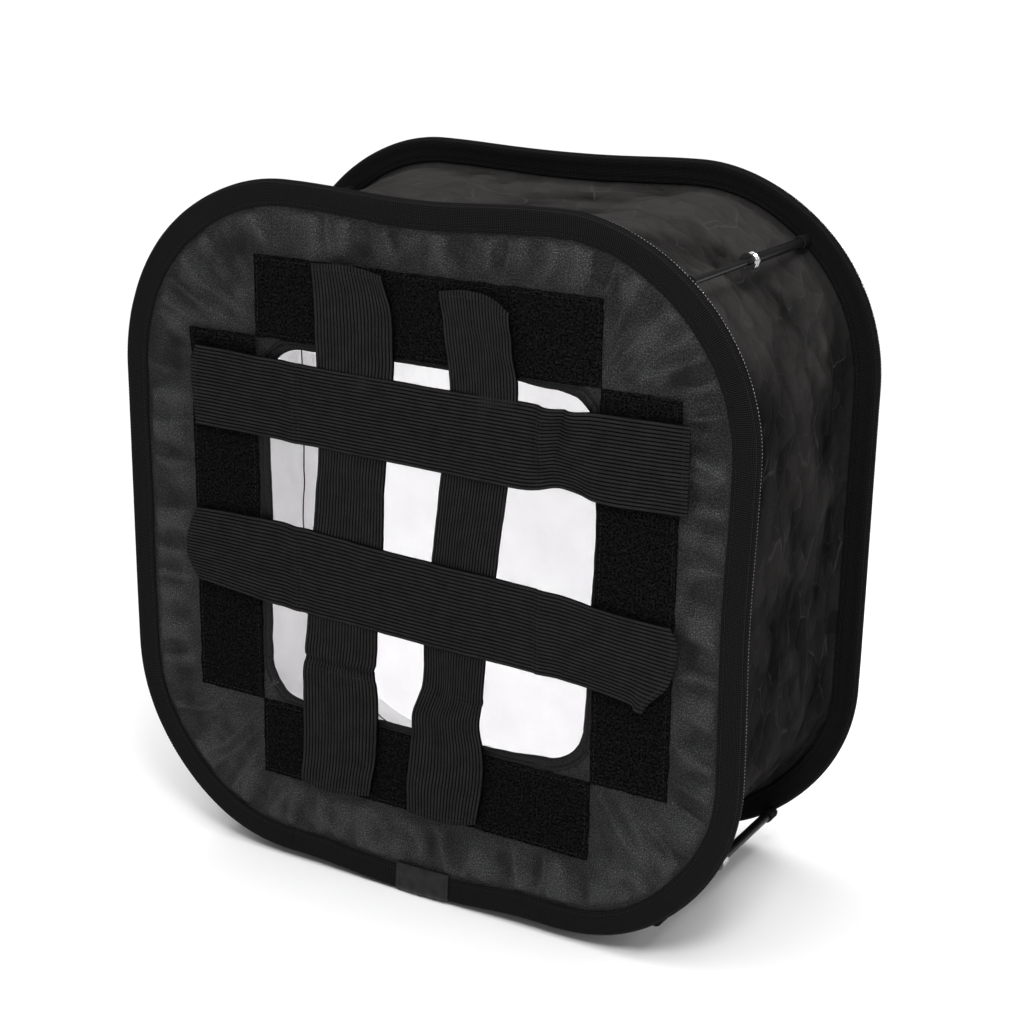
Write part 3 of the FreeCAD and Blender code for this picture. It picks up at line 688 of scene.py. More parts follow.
def cover_patch(rim):
    """The satin patch folded round the rim where the hoop's ends meet, with its end stitching."""
    low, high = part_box(f"{rim.name}_joint_cover")
    edge = rim.edge(0)
    here = (edge[:, 1] < 0.05) & (edge[:, 0] > low.x - 1e-4) & (edge[:, 0] < high.x + 1e-4)
    picked = np.where(here)[0]
    half = [(17.3, 2.5), (16.0, 2.75), (13.6, 2.75), (11.0, 2.9), (8.0, 3.05), (6.0, 3.4), (4.0, 3.6),
            (2.4, 3.5), (1.1, 2.9), (0.2, 2.0), (-0.38, 0.9)]
    outer = np.array(half + [(a, -b) for a, b in reversed(half)]) * MM
    turn = np.gradient(outer, axis=0)
    normal = np.stack([turn[:, 1], -turn[:, 0]], -1)
    normal /= np.linalg.norm(normal, axis=1, keepdims=True)
    if normal[len(half)][0] < 0:
        normal = -normal
    x = edge[picked, 0]
    ends = smooth((np.abs(x - (low.x + high.x) / 2) - 13 * MM) / (4 * MM))
    puff = (1 - ends) * 0.35 * MM + noise(pile(x, 0.3), 7 * MM, 11) * 0.3 * MM
    girth = run_along(outer)
    ripple = noise(pile(x[:, None], girth[None, :]), [5 * MM, 9 * MM, 1], 12) * 0.28 * MM
    lift = (puff[:, None] + ripple) * smooth((17.5 * MM - outer[:, 0]) / (4 * MM))[None]
    lift = np.where(outer[None, :, 0] < 0.6 * MM, np.minimum(lift, 0.0), lift)

    def layer(depth):
        insets = outer[None, :, 0] + (depth - lift) * normal[None, :, 0]
        depths = outer[None, :, 1] + (depth - lift) * normal[None, :, 1]
        base = edge[picked][:, None] - rim.out[picked][:, None] * insets[..., None]
        return pile(base[..., 0], depths + rim.y, np.maximum(base[..., 1], 0.0))

    weave = np.tile(pile(x[:, None], girth[None, :]).reshape(-1, 3), (2, 1))
    mesh = closed_sheet(layer(0.0), layer(0.42 * MM))
    patch = make(f"{rim.name}_cover_patch", *mesh, SATIN, {"weave": weave}, sharp=60)
    finish_piece(patch, rim.body, "satin_patch", f"{rim.name}_joint_cover")
    surface = layer(-0.05 * MM)
    rows = []
    for column in (2, len(x) - 3):
        for part in (slice(1, len(half) - 1), slice(len(half) + 1, len(outer) - 1)):
            line = surface[column, part]
            side = -1 if line[0, 1] < rim.y else 1
            spots, ahead = resample(line, 2.3 * MM, False)
            rows.append((spots, ahead, np.array([0, side, -0.2])))
    seam_name = f"{rim.name}_cover_stitching"
    seam = sew(seam_name, rows, 1.7 * MM, 0.2 * MM, DARK_THREAD, rim.body, "satin_patch")


for rim in (REAR, FRONT):
    webbing(rim)
    hoop_band(rim)
    cover_patch(rim)

# ---------------------------------------------------------------- rear panel and opening

PANEL_X, PANEL_Z = 2.5 * MM, 207.5 * MM
SQUARE = 109 * MM
TAPE = 46 * MM
PANEL_Y = sum(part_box("rear_panel")[i].y for i in (0, 1)) / 2
hem_low, hem_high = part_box("opening_hem")
HEM_OUTSIDE = 10.0 * MM
OPEN_HALF = [(high - low) / 2 - HEM_OUTSIDE for low, high in
             ((hem_low.x, hem_high.x), (hem_low.z, hem_high.z))]
OPEN_CENTRE = np.array([(hem_low.x + hem_high.x) / 2, (hem_low.z + hem_high.z) / 2])

# Where the cloth pulls the opening out of shape: (angle round it, reach outward in mm, width in degrees).
OPEN_BOWS = [(8, 0.4, 14), (-15, -2.2, 18), (-45, -4.2, 15), (176, -1.0, 12), (205, 0.8, 12),
             (-135, 1.8, 9), (125, -1.5, 9), (53, -1.8, 6)]


def opening_edge():
    """The opening's edge as (x, z), with the places where the cloth pulls it out of shape."""
    edge, out = rounded_rectangle(OPEN_HALF[0], OPEN_HALF[1], 25 * MM)
    angle = np.degrees(np.arctan2(edge[:, 1], edge[:, 0]))
    bow = sum(reach * MM * bump((angle - at + 180) % 360 - 180, 0, width) for at, reach, width in OPEN_BOWS)
    turn = np.radians(angle)
    loop = pile(np.cos(turn), np.sin(turn)) * 0.13
    rough = 0.35 + 0.9 * bump((angle + 135 + 180) % 360 - 180, 0, 25) + 0.6 * bump(angle, 60, 14)
    wave = (noise(loop, 14 * MM, 31) * 0.9 + noise(loop, 6 * MM, 32) * 0.35) * rough * MM
    return edge + OPEN_CENTRE + [0.7 * MM, 0] + out * (bow + wave)[:, None], out


def tape_distance(x, z):
    """How far a point of the panel is outside the four loop tapes; 0 on them."""
    x, z = np.abs(x - PANEL_X), np.abs(z - PANEL_Z)
    far = SQUARE + TAPE

    def outside(a, b):
        across = np.maximum(np.maximum(SQUARE - a, a - far), 0)
        along = np.maximum(b - SQUARE, 0)
        return np.hypot(across, along)

    return np.minimum(outside(x, z), outside(z, x))


def panel_relief(x, z, run, inset):
    """How far the panel cloth stands out of its plane, towards the lamp."""
    free = smooth(tape_distance(x, z) / (11 * MM))
    held = smooth((inset - 15.5 * MM) / (5 * MM))
    near_rim = np.exp(-np.maximum(inset - 17 * MM, 0) / (26 * MM))
    angle = run / REAR.length * 2 * math.pi
    loop = REAR.length / (2 * math.pi)
    at = pile(np.cos(angle) * loop, np.sin(angle) * loop, inset * 0.22)
    pucker = noise(at, 13 * MM, 21) * 1.25 * MM + noise(at, 7 * MM, 22) * 0.45 * MM
    sway = pile(noise(pile(x, z), 40 * MM, 23), noise(pile(x, z), 40 * MM, 24)) * 9 * MM
    long_fold = 1 - np.abs(noise(at * [1, 1, 1] + sway, 21 * MM, 25)) * 2.6
    fold = np.maximum(long_fold, 0) ** 2 * 1.3 * MM * (0.35 + near_rim)
    rough = noise(pile(x, z) + sway * 0.4, 17 * MM, 26) * 0.55 * MM + noise(pile(x, z), 7 * MM, 27) * 0.2 * MM
    deepest = (0.15 + 0.75 * smooth((inset - 24 * MM) / (10 * MM))) * MM
    return np.maximum(free * held * (pucker * near_rim * 1.9 + fold * 1.5 + rough * 1.3), -deepest)


def rear_panel():
    opening, open_out = opening_edge()
    opening = opening + open_out * 1.6 * MM
    shares = np.concatenate([np.linspace(0, 0.8, 60, endpoint=False), np.linspace(0.8, 1, 34)])
    rim_edge = REAR.edge(7 * MM)
    flat = opening[None] * (1 - shares[:, None, None]) + rim_edge[None] * shares[:, None, None]
    x, z = flat[..., 0], flat[..., 1]
    to_rim = ((REAR.edge(0)[None] - flat) * REAR.out[None]).sum(-1)
    out = panel_relief(x, z, np.broadcast_to(REAR.run, x.shape), to_rim)
    slack = smooth((to_rim - 6 * MM) / (6 * MM))
    front = pile(x, PANEL_Y - 0.22 * MM - out * slack, z)
    back = front + [0, 0.44 * MM, 0]
    weave = np.tile(pile(x, z).reshape(-1, 3), (2, 1))
    # How far the cloth stands out, used as the painted light share for its painted sheen and shade.
    raised = np.clip(out / (4 * MM) + 0.4, 0, 1).ravel()
    inner = np.repeat([0.0, 1.0], len(raised))
    marks = {"weave": weave, "raised": np.tile(raised, 2), "inner": inner}
    piece = make("rear_panel_cloth", *closed_sheet(front, back, wrap=True), PANEL, marks, sharp=60)
    finish_piece(piece, "rear_frame", "panel_cloth", "rear_panel")


def opening_hem():
    """The folded edge of the opening, with its row of stitches."""
    edge, out = opening_edge()
    limit = np.full(len(edge), 7.6 * MM)
    for axis, middle in ((0, PANEL_X), (1, PANEL_Z)):
        other, other_middle = (1, PANEL_Z) if axis == 0 else (0, PANEL_X)
        gap = SQUARE - 0.3 * MM - np.abs(edge[:, axis] - middle)
        facing = np.maximum(np.abs(out[:, axis]), 1e-3)
        along = np.abs(edge[:, other] - other_middle) < SQUARE - 1 * MM
        limit = np.minimum(limit, np.where(along, gap / facing, limit))
    limit = np.maximum(limit, 1.6 * MM)
    for _ in range(6):
        limit = np.minimum(limit, (np.roll(limit, 4) + np.roll(limit, -4)) / 2 + 0.2 * MM)
    angle = np.arange(len(edge)) / len(edge) * 2 * math.pi
    loop = pile(np.cos(angle), np.sin(angle)) * 0.13
    wave = noise(loop, 11 * MM, 34) * 0.5 * MM
    face = [(1.0, 0.45), (0.93, 0.85), (0.8, 1.0), (0.7, 0.9), (0.64, 0.35), (0.58, 0.9), (0.42, 1.25),
            (0.24, 1.2)]
    roll = [(0.9 - 0.9 * math.cos(a), -math.sin(a)) for a in np.radians([90, 60, 30, 0, -30, -60, -90])]
    under = [(3.0, 0.95), (6.0, 0.8), (9.6, 0.62), (9.6, 0.3), (3.0, 0.35), (1.4, 0.3), (1.4, -0.3)]
    even = np.ones(len(edge))
    insets = [limit * s for s, _ in face] + [even * a * MM for a, _ in roll + under] + [limit]
    inset = np.stack(insets, 1)
    depths = [-h for _, h in face] + [b for _, b in roll + under] + [-0.26]
    depth = np.array(depths)[None] * MM * even[:, None]
    front = (np.arange(len(insets)) < len(face) + 4)[None]
    ripple = noise(loop[:, None] + pile(0, 0, inset * 0.8), 6 * MM, 33) * 0.28 * MM
    depth = depth + np.where(front, ripple * 1.3, 0) + wave[:, None] * 0.5
    place = edge[:, None] + out[:, None] * inset[..., None]
    points = pile(place[..., 0], PANEL_Y + depth, place[..., 1])
    weave = pile(run_along(edge)[:, None], inset).reshape(-1, 3)
    piece = make("opening_hem_cloth", *ring(points), HEM, {"weave": weave}, sharp=70)
    finish_piece(piece, "rear_frame", "hem_tape", "opening_hem")
    line = points[:, 4] + [0, -0.1 * MM, 0]
    spots, ahead = resample(line, 2.6 * MM, True)
    rows = [(spots, ahead, TO_LAMP)]
    seam = sew("opening_hem_stitching", rows, 1.9 * MM, 0.22 * MM, DARK_THREAD, "rear_frame", "hem_tape")


rear_panel()
opening_hem()

# ---------------------------------------------------------------- walls, lining and diffuser

DEPTH = FRONT.y - REAR.y


def facets(u, v, size, stretch, turn, seed):
    """Height from -1 to 1 of cloth creased into flat facets about size across, longer along u."""
    c, s = math.cos(turn), math.sin(turn)
    a, b = (u * c + v * s) / (size * stretch), (v * c - u * s) / size
    at = pile(a, b)
    a = a + noise(at, 2.3, seed) * 0.55 + 64
    b = b + noise(at, 2.3, seed + 1) * 0.55 + 64
    i, j = np.floor(a).astype(np.int64), np.floor(b).astype(np.int64)
    a, b = a - i, b - j

    def corner(di, dj):
        return (lattice(i + di, j + dj, 0, seed + 2) & 1023) / 511.5 - 1

    h00, h10, h01, h11 = corner(0, 0), corner(1, 0), corner(0, 1), corner(1, 1)
    rising = np.where(a > b, h00 + (h10 - h00) * a + (h11 - h10) * b, h00 + (h11 - h01) * a + (h01 - h00) * b)
    nearer = h00 + (h10 - h00) * a + (h01 - h00) * b
    farther = h11 + (h01 - h11) * (1 - a) + (h10 - h11) * (1 - b)
    falling = np.where(a + b < 1, nearer, farther)
    return np.where(lattice(i, j, 7, seed + 3) & 1, rising, falling)


def crumple(u, v, seed):
    """Height in mm of thin cloth that has been folded up along the rims and let out again."""
    at = pile(u, v)
    strong = 0.75 + 0.5 * noise(at, 45 * MM, seed + 30)
    broad = facets(u, v, 30 * MM, 2.2, 0.2, seed) * 2.9 + facets(u, v, 22 * MM, 1.5, -0.55, seed + 5) * 1.8
    middle = facets(u, v, 13 * MM, 2.0, -0.25, seed + 10) * 1.6
    small = facets(u, v, 6.5 * MM, 1.7, 0.45, seed + 15) * 0.7
    return strong * (broad + middle + small)


WALL_INSET, WALL_FLAT, WALL_TURN, TURN_IN = 7 * MM, 8 * MM, 9 * MM, 0.3
WALL_GAP = 0.35 * MM


def wall_shape(shares):
    """Inset and depth of the wall's middle surface for shares from the rear rim to the front."""
    start, end = WALL_GAP, DEPTH - WALL_GAP
    bend = WALL_TURN * math.pi / 2
    total = 2 * (WALL_FLAT + bend) + end - start - 2 * WALL_TURN
    s = np.where(shares > 0.5, 1 - shares, shares) * total
    q = np.clip((s - WALL_FLAT) / WALL_TURN, 0, math.pi / 2)
    inset = WALL_INSET + np.minimum(s, WALL_FLAT) + WALL_TURN * np.sin(q) * TURN_IN
    depth = WALL_TURN * (1 - np.cos(q)) + np.maximum(s - WALL_FLAT - bend, 0)
    return inset, np.where(shares > 0.5, end - depth, start + depth)


TOP, FOOT, FLANK = np.maximum(REAR.out[:, 1], 0), np.maximum(-REAR.out[:, 1], 0), np.abs(REAR.out[:, 0])
AT_CORNER = np.minimum(4 * (REAR.out[:, 0] * REAR.out[:, 1]) ** 2, 1)


def wall_place(inset, depth, inward, seed, amplitude):
    """Points of the wall for insets and depths (rows) at every station round the rims (columns).

    Also how loose the cloth is, where it is along both ways, and a painted light share from 0 to 1: paler on
    the top wall, where the light falls from above, and darker where the cloth's folds sink in.
    """
    share = (depth - WALL_GAP) / (DEPTH - 2 * WALL_GAP)
    lane = REAR.edge(0)[None] * (1 - share[:, None, None]) + FRONT.edge(0)[None] * share[:, None, None]
    deepest = (TOP * 5.5 - FOOT * 1.5 + FLANK * 1.6 + AT_CORNER * 5.0) * MM
    sag = np.abs(np.sin(np.pi * share))[:, None] ** 0.8 * deepest[None]
    run, deep = np.broadcast_arrays(REAR.run[None], depth[:, None])
    from_seam = np.minimum(run, REAR.length - run)
    folds = crumple(run, deep, seed) * smooth(from_seam / (12 * MM)) * (1 + 0.5 * TOP[None])
    at = pile(lane[..., 0], depth[:, None] * 0.35, lane[..., 1])
    from_end = np.minimum(depth - WALL_GAP, DEPTH - WALL_GAP - depth)[:, None]
    near = np.exp(-from_end / (22 * MM))
    loose = smooth(from_end / (12 * MM))
    swell = noise(at, 24 * MM, seed + 20) * 0.9 * MM * (0.5 + near)
    lift = loose * (folds * amplitude * (1 - 0.4 * near) + swell)
    place = lane - REAR.out[None] * (inset[:, None] + sag + lift + inward)[..., None]
    # Painted light share: paler on the top wall, where the light falls from above, and darker where the folds
    # sink in.
    raised = np.clip(0.3 + 0.35 * TOP[None] - loose * folds * (0.14 + 0.1 * TOP[None]), 0, 1)
    return pile(place[..., 0], REAR.y + deep, place[..., 1]), loose, run, deep, raised


def fold_up(piece):
    """Give a piece of the walls its own copy of its mesh."""
    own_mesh(piece)
    return piece


def side_cloth(name, material, slot_name, node, inward, rows, amplitude):
    """One layer of the walls, sewn to both rims."""
    inset, depth = wall_shape(np.linspace(0, 1, rows))
    middle, loose, run, deep, raised = wall_place(inset, depth, inward, WALL_SEED, amplitude)
    out = np.broadcast_to(pile(REAR.out[:, 0], 0, REAR.out[:, 1])[None], middle.shape)
    to_rim = pile(0, 1, 0) * (1 - loose)[..., None] * np.sign(deep - DEPTH / 2)[..., None]
    thick = out * 0.15 * MM - to_rim * 0.12 * MM
    mesh = closed_sheet(middle + thick, middle - thick, wrap=True)
    marks = {"weave": np.tile(pile(run, deep).reshape(-1, 3), (2, 1)), "raised": np.tile(raised.ravel(), 2)}
    piece = make(name, *mesh, material, marks, sharp=60)
    return fold_up(finish_piece(piece, "rear_frame", slot_name, node))


def lining_seam(inward, amplitude):
    """The dark seam round the inside, where the diffuser's skirt is sewn to the lining."""
    offsets = np.array([(0.0, -0.5), (-0.45, -0.4), (-0.5, 0.0), (-0.45, 0.4), (0.0, 0.5), (0.25, 0.0)]) * MM
    depth = DEPTH - SKIRT + offsets[:, 1]
    inset = np.full(len(depth), WALL_INSET + WALL_FLAT + WALL_TURN * TURN_IN) - offsets[:, 0]
    points = wall_place(inset, depth, inward, WALL_SEED, amplitude)[0].transpose(1, 0, 2)
    seam = make("wall_lining_seam", *ring(points), DARK_THREAD, sharp=0)
    return fold_up(finish_piece(seam, "rear_frame", "lining_cloth"))


WALL_SEED = 41
SKIRT = 20 * MM
BEHIND, LINING_CRUMPLE = 2.4 * MM, 0.9 * MM
wall = side_cloth("side_wall_cloth", NYLON, "wall_cloth", "side_wall", 0.0, 112, MM)
lining = side_cloth("wall_lining_cloth", LINING, "lining_cloth", "wall_lining", BEHIND, 64, LINING_CRUMPLE)
lining_seam(BEHIND, LINING_CRUMPLE)


def diffuser():
    shares = np.linspace(0.02, 1, 60)
    rim_edge = FRONT.edge(7 * MM)
    middle = FRONT.centre
    flat = middle[None, None] * (1 - shares[:, None, None]) + rim_edge[None] * shares[:, None, None]
    x, z = flat[..., 0], flat[..., 1]
    to_rim = ((FRONT.edge(0)[None] - flat) * FRONT.out[None]).sum(-1)
    held = smooth((to_rim - 14 * MM) / (14 * MM))
    near_rim = np.exp(-np.maximum(to_rim - 17 * MM, 0) / (24 * MM))
    angle = FRONT.run / FRONT.length * 2 * math.pi
    loop = FRONT.length / (2 * math.pi)
    at = pile(np.cos(angle)[None] * loop, np.sin(angle)[None] * loop, to_rim * 0.2)
    out = held * (noise(at, 12 * MM, 61) * 1.0 * MM * near_rim + noise(pile(x, z), 60 * MM, 62) * 1.0 * MM)
    belly = held * 2.5 * MM * (1 - shares[:, None] ** 2)
    y = FRONT.y + 0.6 * MM + out - belly
    front = pile(x, y, z)
    back = front - [0, 0.4 * MM, 0]
    verts, faces = closed_sheet(front, back, wrap=True)
    count = len(verts) // 2
    centre_ids = np.arange(STATIONS)
    verts = np.vstack([verts, verts[:STATIONS].mean(0), verts[count:count + STATIONS].mean(0)])
    hub, hub_back = len(verts) - 2, len(verts) - 1
    quads = [f for f in faces if f.shape[1] == 4]
    inner = np.isin(quads[2], centre_ids).any(1)
    quads[2] = quads[2][~inner]
    nxt = (centre_ids + 1) % STATIONS
    fan = np.stack([np.full(STATIONS, hub), centre_ids, nxt], -1)
    fan_back = np.stack([np.full(STATIONS, hub_back), nxt + count, centre_ids + count], -1)
    a, b, c = (verts[fan[:, i]] for i in (0, 1, 2))
    if np.cross(b - a, c - a)[:, 1].sum() < 0:
        fan, fan_back = fan[:, ::-1], fan_back[:, ::-1]
    weave = pile(x, z).reshape(-1, 3)
    hubs = np.array([[middle[0], middle[1], 0.0]] * 2)
    marks = {"weave": np.vstack([weave, weave, hubs])}
    faces = [q for q in quads if len(q)] + [fan, fan_back]
    piece = make("front_diffuser_cloth", verts, faces, DIFFUSER, marks, sharp=60)
    finish_piece(piece, "front_frame", "diffuser_cloth", "front_diffuser")


diffuser()

# ---------------------------------------------------------------- loop tapes


def loop_tape(name, seed, curl):
    """A strip of loop tape with its rough pile, and the stitching round its edge."""
    low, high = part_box(name)
    pitch = 0.85 * MM
    columns = int((high.x - low.x) / pitch) + 1
    rows = int((high.z - low.z) / pitch) + 1
    x = np.linspace(low.x, high.x, columns)[None]
    z = np.linspace(low.z, high.z, rows)[:, None]
    at = pile(x, z)
    rim_wave = pile(noise(at, 9 * MM, seed), noise(at, 9 * MM, seed + 1))[..., :2] * 0.5 * MM
    rim_wave += pile(noise(at, 2.4 * MM, seed + 4), noise(at, 2.4 * MM, seed + 5))[..., :2] * 0.35 * MM
    from_edge = np.minimum(np.minimum(x - low.x, high.x - x), np.minimum(z - low.z, high.z - z))
    hold = 1 - smooth(from_edge / (5 * MM))
    spread = rim_wave * hold[..., None]
    fuzz = noise(at, 1.5 * MM, seed + 2) * 0.34 * MM + noise(at, 2.9 * MM, seed + 3) * 0.26 * MM
    shoulder = smooth(from_edge / (1.3 * MM))
    sewn = bump(from_edge, 2.2 * MM, 0.9 * MM) * 0.45 * MM
    lift = curl(x, z, low, high) * MM
    surface = (0.75 * MM + 0.75 * MM * shoulder + fuzz * shoulder - sewn) + lift
    base = PANEL_Y - 0.26 * MM
    front = pile(x + spread[..., 0], base - surface, z + spread[..., 1])
    back = pile(x + spread[..., 0], base - lift, z + spread[..., 1])
    marks = {"weave": np.tile(at.reshape(-1, 3), (2, 1))}
    piece = make(f"{name}_pile", *closed_sheet(front, back), LOOP, marks, sharp=0)
    finish_piece(piece, "rear_frame", "loop_tape", name)
    inset = 2.2 * MM
    corners = [(low.x + inset, low.z + inset), (high.x - inset, low.z + inset),
               (high.x - inset, high.z - inset), (low.x + inset, high.z - inset)]
    rows_of = []
    for (xa, za), (xb, zb) in zip(corners, corners[1:] + corners[:1]):
        t = np.linspace(0, 1, 60)
        xs, zs = xa + (xb - xa) * t, za + (zb - za) * t
        up = curl(xs, zs, low, high) * MM
        spots, ahead = resample(pile(xs, base - 1.12 * MM - up, zs), 2.8 * MM, False)
        rows_of.append((spots, ahead, TO_LAMP))
    seam = sew(f"{name}_stitching", rows_of, 2.0 * MM, 0.24 * MM, BLACK_THREAD, "rear_frame", "loop_tape")


def flat_tape(x, z, low, high):
    return 0.0 * x * z


def curled_top(x, z, low, high):
    """The left tape's top end stands off the panel a little."""
    return smooth((z - (high.z - 16 * MM)) / (16 * MM)) * (1.2 + 0.8 * np.sin((x - low.x) / (46 * MM) * 7))


def wavy_foot(x, z, low, high):
    """The bottom tape's lower edge is a little wavy."""
    return smooth(((low.z + 12 * MM) - z) / (12 * MM)) * (0.5 + 0.5 * np.sin((x - low.x) / (31 * MM)))


def lifted_corner(x, z, low, high):
    """The right tape's outer top corner stands off the panel a little."""
    return smooth(1 - np.hypot(x - high.x, z - high.z) / (20 * MM)) * 1.6


loop_tape("loop_tape_top", 71, flat_tape)
loop_tape("loop_tape_bottom", 75, wavy_foot)
loop_tape("loop_tape_left", 79, curled_top)
loop_tape("loop_tape_right", 83, lifted_corner)

# ---------------------------------------------------------------- elastic straps

RIBS = 23
PEEL = 107  # how far from the middle a strap's end bends off, in mm, as in the part
INNER, OUTER = 3.7, 5.2
HALF_THICK = (OUTER - INNER) / 2
HALF_STRAP = 23.5

# Each strap's course, as marks (how far along, its middle, its width) in mm from the middle of the
# tapes; its nips as (how far along, reach, shift of the low edge, of the high edge); the side of the middle
# where its two halves meet; whether it lies over the others; and how far each end is cut back, in mm, for
# places from -1 to 1 across it.
STRAPS = {
    "cross_strap_upper": {
        "upright": False, "meets": 0, "over": True,
        "course": [(-150, 77, 47), (-105, 76, 46), (20, 74, 46), (120, 73.5, 48), (162, 74.5, 47)],
        "nips": [(90, 13, 5, -1.5)],
        "ends": (("left", [(-1, 0), (0.7, 0), (1, 3)]), ("right", [(-1, 0), (1, 0.5)])),
    },
    "cross_strap_lower": {
        "upright": False, "meets": 0, "over": True,
        "course": [(-156, -19, 44), (-100, -20.5, 50), (-20, -24, 49), (90, -28, 47), (116, -30.5, 46),
                   (158, -34.5, 50)],
        "nips": [],
        "ends": (("left", [(-1, 5), (-0.7, 0), (0.7, 1.5), (1, 4.5)]),
                 ("right", [(-1, 17), (-0.8, 14), (-0.3, 3), (0, 0.5), (0.8, 0.5), (1, 4)])),
    },
    "upright_strap_left": {
        "upright": True, "meets": -24, "over": False,
        "course": [(-154, -55.5, 48), (-135, -53, 50), (-90, -51, 51), (-60, -50.5, 48), (0, -45.5, 47),
                   (50, -42, 44.5), (110, -39.5, 50.5), (140, -41, 50.5), (156, -44, 47)],
        "nips": [(-75, 4, 0, -3)],
        "ends": (("bottom", [(-1, 2), (-0.8, 0.5), (0.6, 1), (1, 3)]), ("top", [(-1, 1.5), (0, 0), (1, 3)])),
    },
    "upright_strap_right": {
        "upright": True, "meets": -24, "over": False,
        "course": [(-155, 17.5, 46), (-110, 21, 48), (-91, 20.5, 43), (-76, 23.5, 39), (-50, 25, 40),
                   (50, 36.5, 41), (103, 42, 41), (125, 39, 42), (151, 36, 43.5)],
        "nips": [],
        "ends": (("bottom", [(-1, 1), (0.4, 1), (1, 5)]),
                 ("top", [(-1, 2.5), (-0.3, 0), (0.6, 3.5), (1, 9)])),
    },
}


def strap_edges(spec, s):
    """Where a strap's two edges are, in mm, at s mm along it."""
    middle = curve_through([(at, mid) for at, mid, _ in spec["course"]], s)
    width = curve_through([(at, wide) for at, _, wide in spec["course"]], s)
    low, high = middle - width / 2, middle + width / 2
    for at, reach, low_shift, high_shift in spec["nips"]:
        nip = bump(s, at, reach)
        low, high = low + low_shift * nip, high + high_shift * nip
    return low, high


def strap_tip(spec, sign):
    """How far from the middle a strap's end is, in mm."""
    return abs(spec["course"][-1 if sign > 0 else 0][0])


def creases(along, across, u, seed):
    """Slight random buckles of an elastic, in mm, broader along it than across it."""
    at = pile(along, across)
    broad, middle, fine = [38, 26, 1], [14, 19, 1], [6, 11, 1]
    return noise(at, broad, seed) + noise(at, middle, seed + 1) * 0.5 + noise(at, fine, seed + 2) * 0.16


def strap_relief(name, along, across, u):
    """How far a strap's middle surface stands out of its flat layer, in mm."""
    wave = creases(along, across, u, 100 + 7 * sorted(STRAPS).index(name))
    crown = 0.5 * (1 - u**2)
    lift = 1.8 * smooth((92 - np.abs(along)) / 14) if STRAPS[name]["over"] else 0.0
    doubled = 0.7 * smooth((np.abs(along) - 76) / 2)
    if name == "cross_strap_upper":
        tuck = along - 86 - 3 * u
        extra = -2.3 * bump(tuck, 0, 2.4) * smooth(0.9 + u) + 1.9 * bump(tuck, -8, 4.4) * smooth(0.7 + u)
        extra = extra + 2.0 * bump(tuck, 9, 6) * smooth(0.9 + u * 0.4)
        extra = extra - 1.3 * bump(along + 9 * u, 92, 5) * smooth(0.1 - u)
        extra = extra + 1.5 * smooth((-126 - along) / 22) * smooth((u - 0.35) / 0.65)
        extra = extra + 0.8 * bump(along, -104, 8) * smooth(u)
    elif name == "cross_strap_lower":
        extra = 1.5 * smooth((along - 128) / 20) * smooth(-u * 1.3) + 0.8 * bump(along, 30, 26)
        extra = extra + 0.9 * bump(along + 8 * u, -104, 9) + 0.6 * bump(along, -60, 12)
    elif name == "upright_strap_left":
        extra = -1.5 * bump(along + u, -75, 1.5) + 1.1 * bump(along, -82, 6) + 0.9 * bump(along, -68, 5)
        extra = extra + 1.3 * smooth((along - 118) / 26) * smooth((u - 0.55) / 0.45)
        extra = extra + 0.9 * bump(along + 16 * np.abs(u), 44, 8)
        extra = extra + 0.9 * bump(along, -140, 7) * smooth(0.2 + u)
    else:
        extra = -1.4 * bump(along - 3 * u, -80, 1.8) * smooth(0.6 + u)
        extra = extra - 1.5 * bump(u, -0.45, 0.22) * bump(along, -76, 16)
        extra = extra + 1.2 * bump(along, -90, 7) + 1.8 * bump(along - 10 * u, 112, 14) * smooth(u + 0.4)
        extra = extra - 1.2 * bump(along + 14 * u, 122, 8)
        extra = extra + 1.4 * smooth((along - 126) / 16) * smooth((u - 0.3) / 0.6)
        extra = extra + 1.0 * bump(along, -138, 9) * smooth(0.4 - u)
    return np.maximum(wave, -0.5) + crown + lift + doubled + np.maximum(extra, -1.9)


def strap_point(name, s, u, out):
    """A point of a strap: s mm along it, u from -1 to 1 across it, out mm beyond its middle layer."""
    spec = STRAPS[name]
    s, u = np.broadcast_arrays(np.asarray(s, float), np.asarray(u, float))
    low, high = strap_edges(spec, s)
    across = low + (high - low) * (u + 1) / 2
    along = s
    for index, (_, marks) in enumerate(spec["ends"]):
        sign = (-1, 1)[index]
        tip = strap_tip(spec, sign)
        share = smooth((sign * s - (tip - 26)) / 26)
        along = along - sign * share * curve_through(marks, u)
    rise = strap_relief(name, s, across, u)
    y = REAR.y * 1000 - (INNER + OUTER) / 2 - rise - out
    if spec["upright"]:
        x, z = across, along
    else:
        x, z = along, across
    return pile(x + PANEL_X * 1000, y, z + PANEL_Z * 1000) * MM


def end_of(name, index):
    """An end's name, its direction along the strap and how far from the middle it is, in mm."""
    spec = STRAPS[name]
    sign = (-1, 1)[index]
    return spec["ends"][index][0], sign, strap_tip(spec, sign)


def strap_weave(s, u):
    return np.tile(pile(s, u * HALF_STRAP).reshape(-1, 3) * MM, (2, 1))


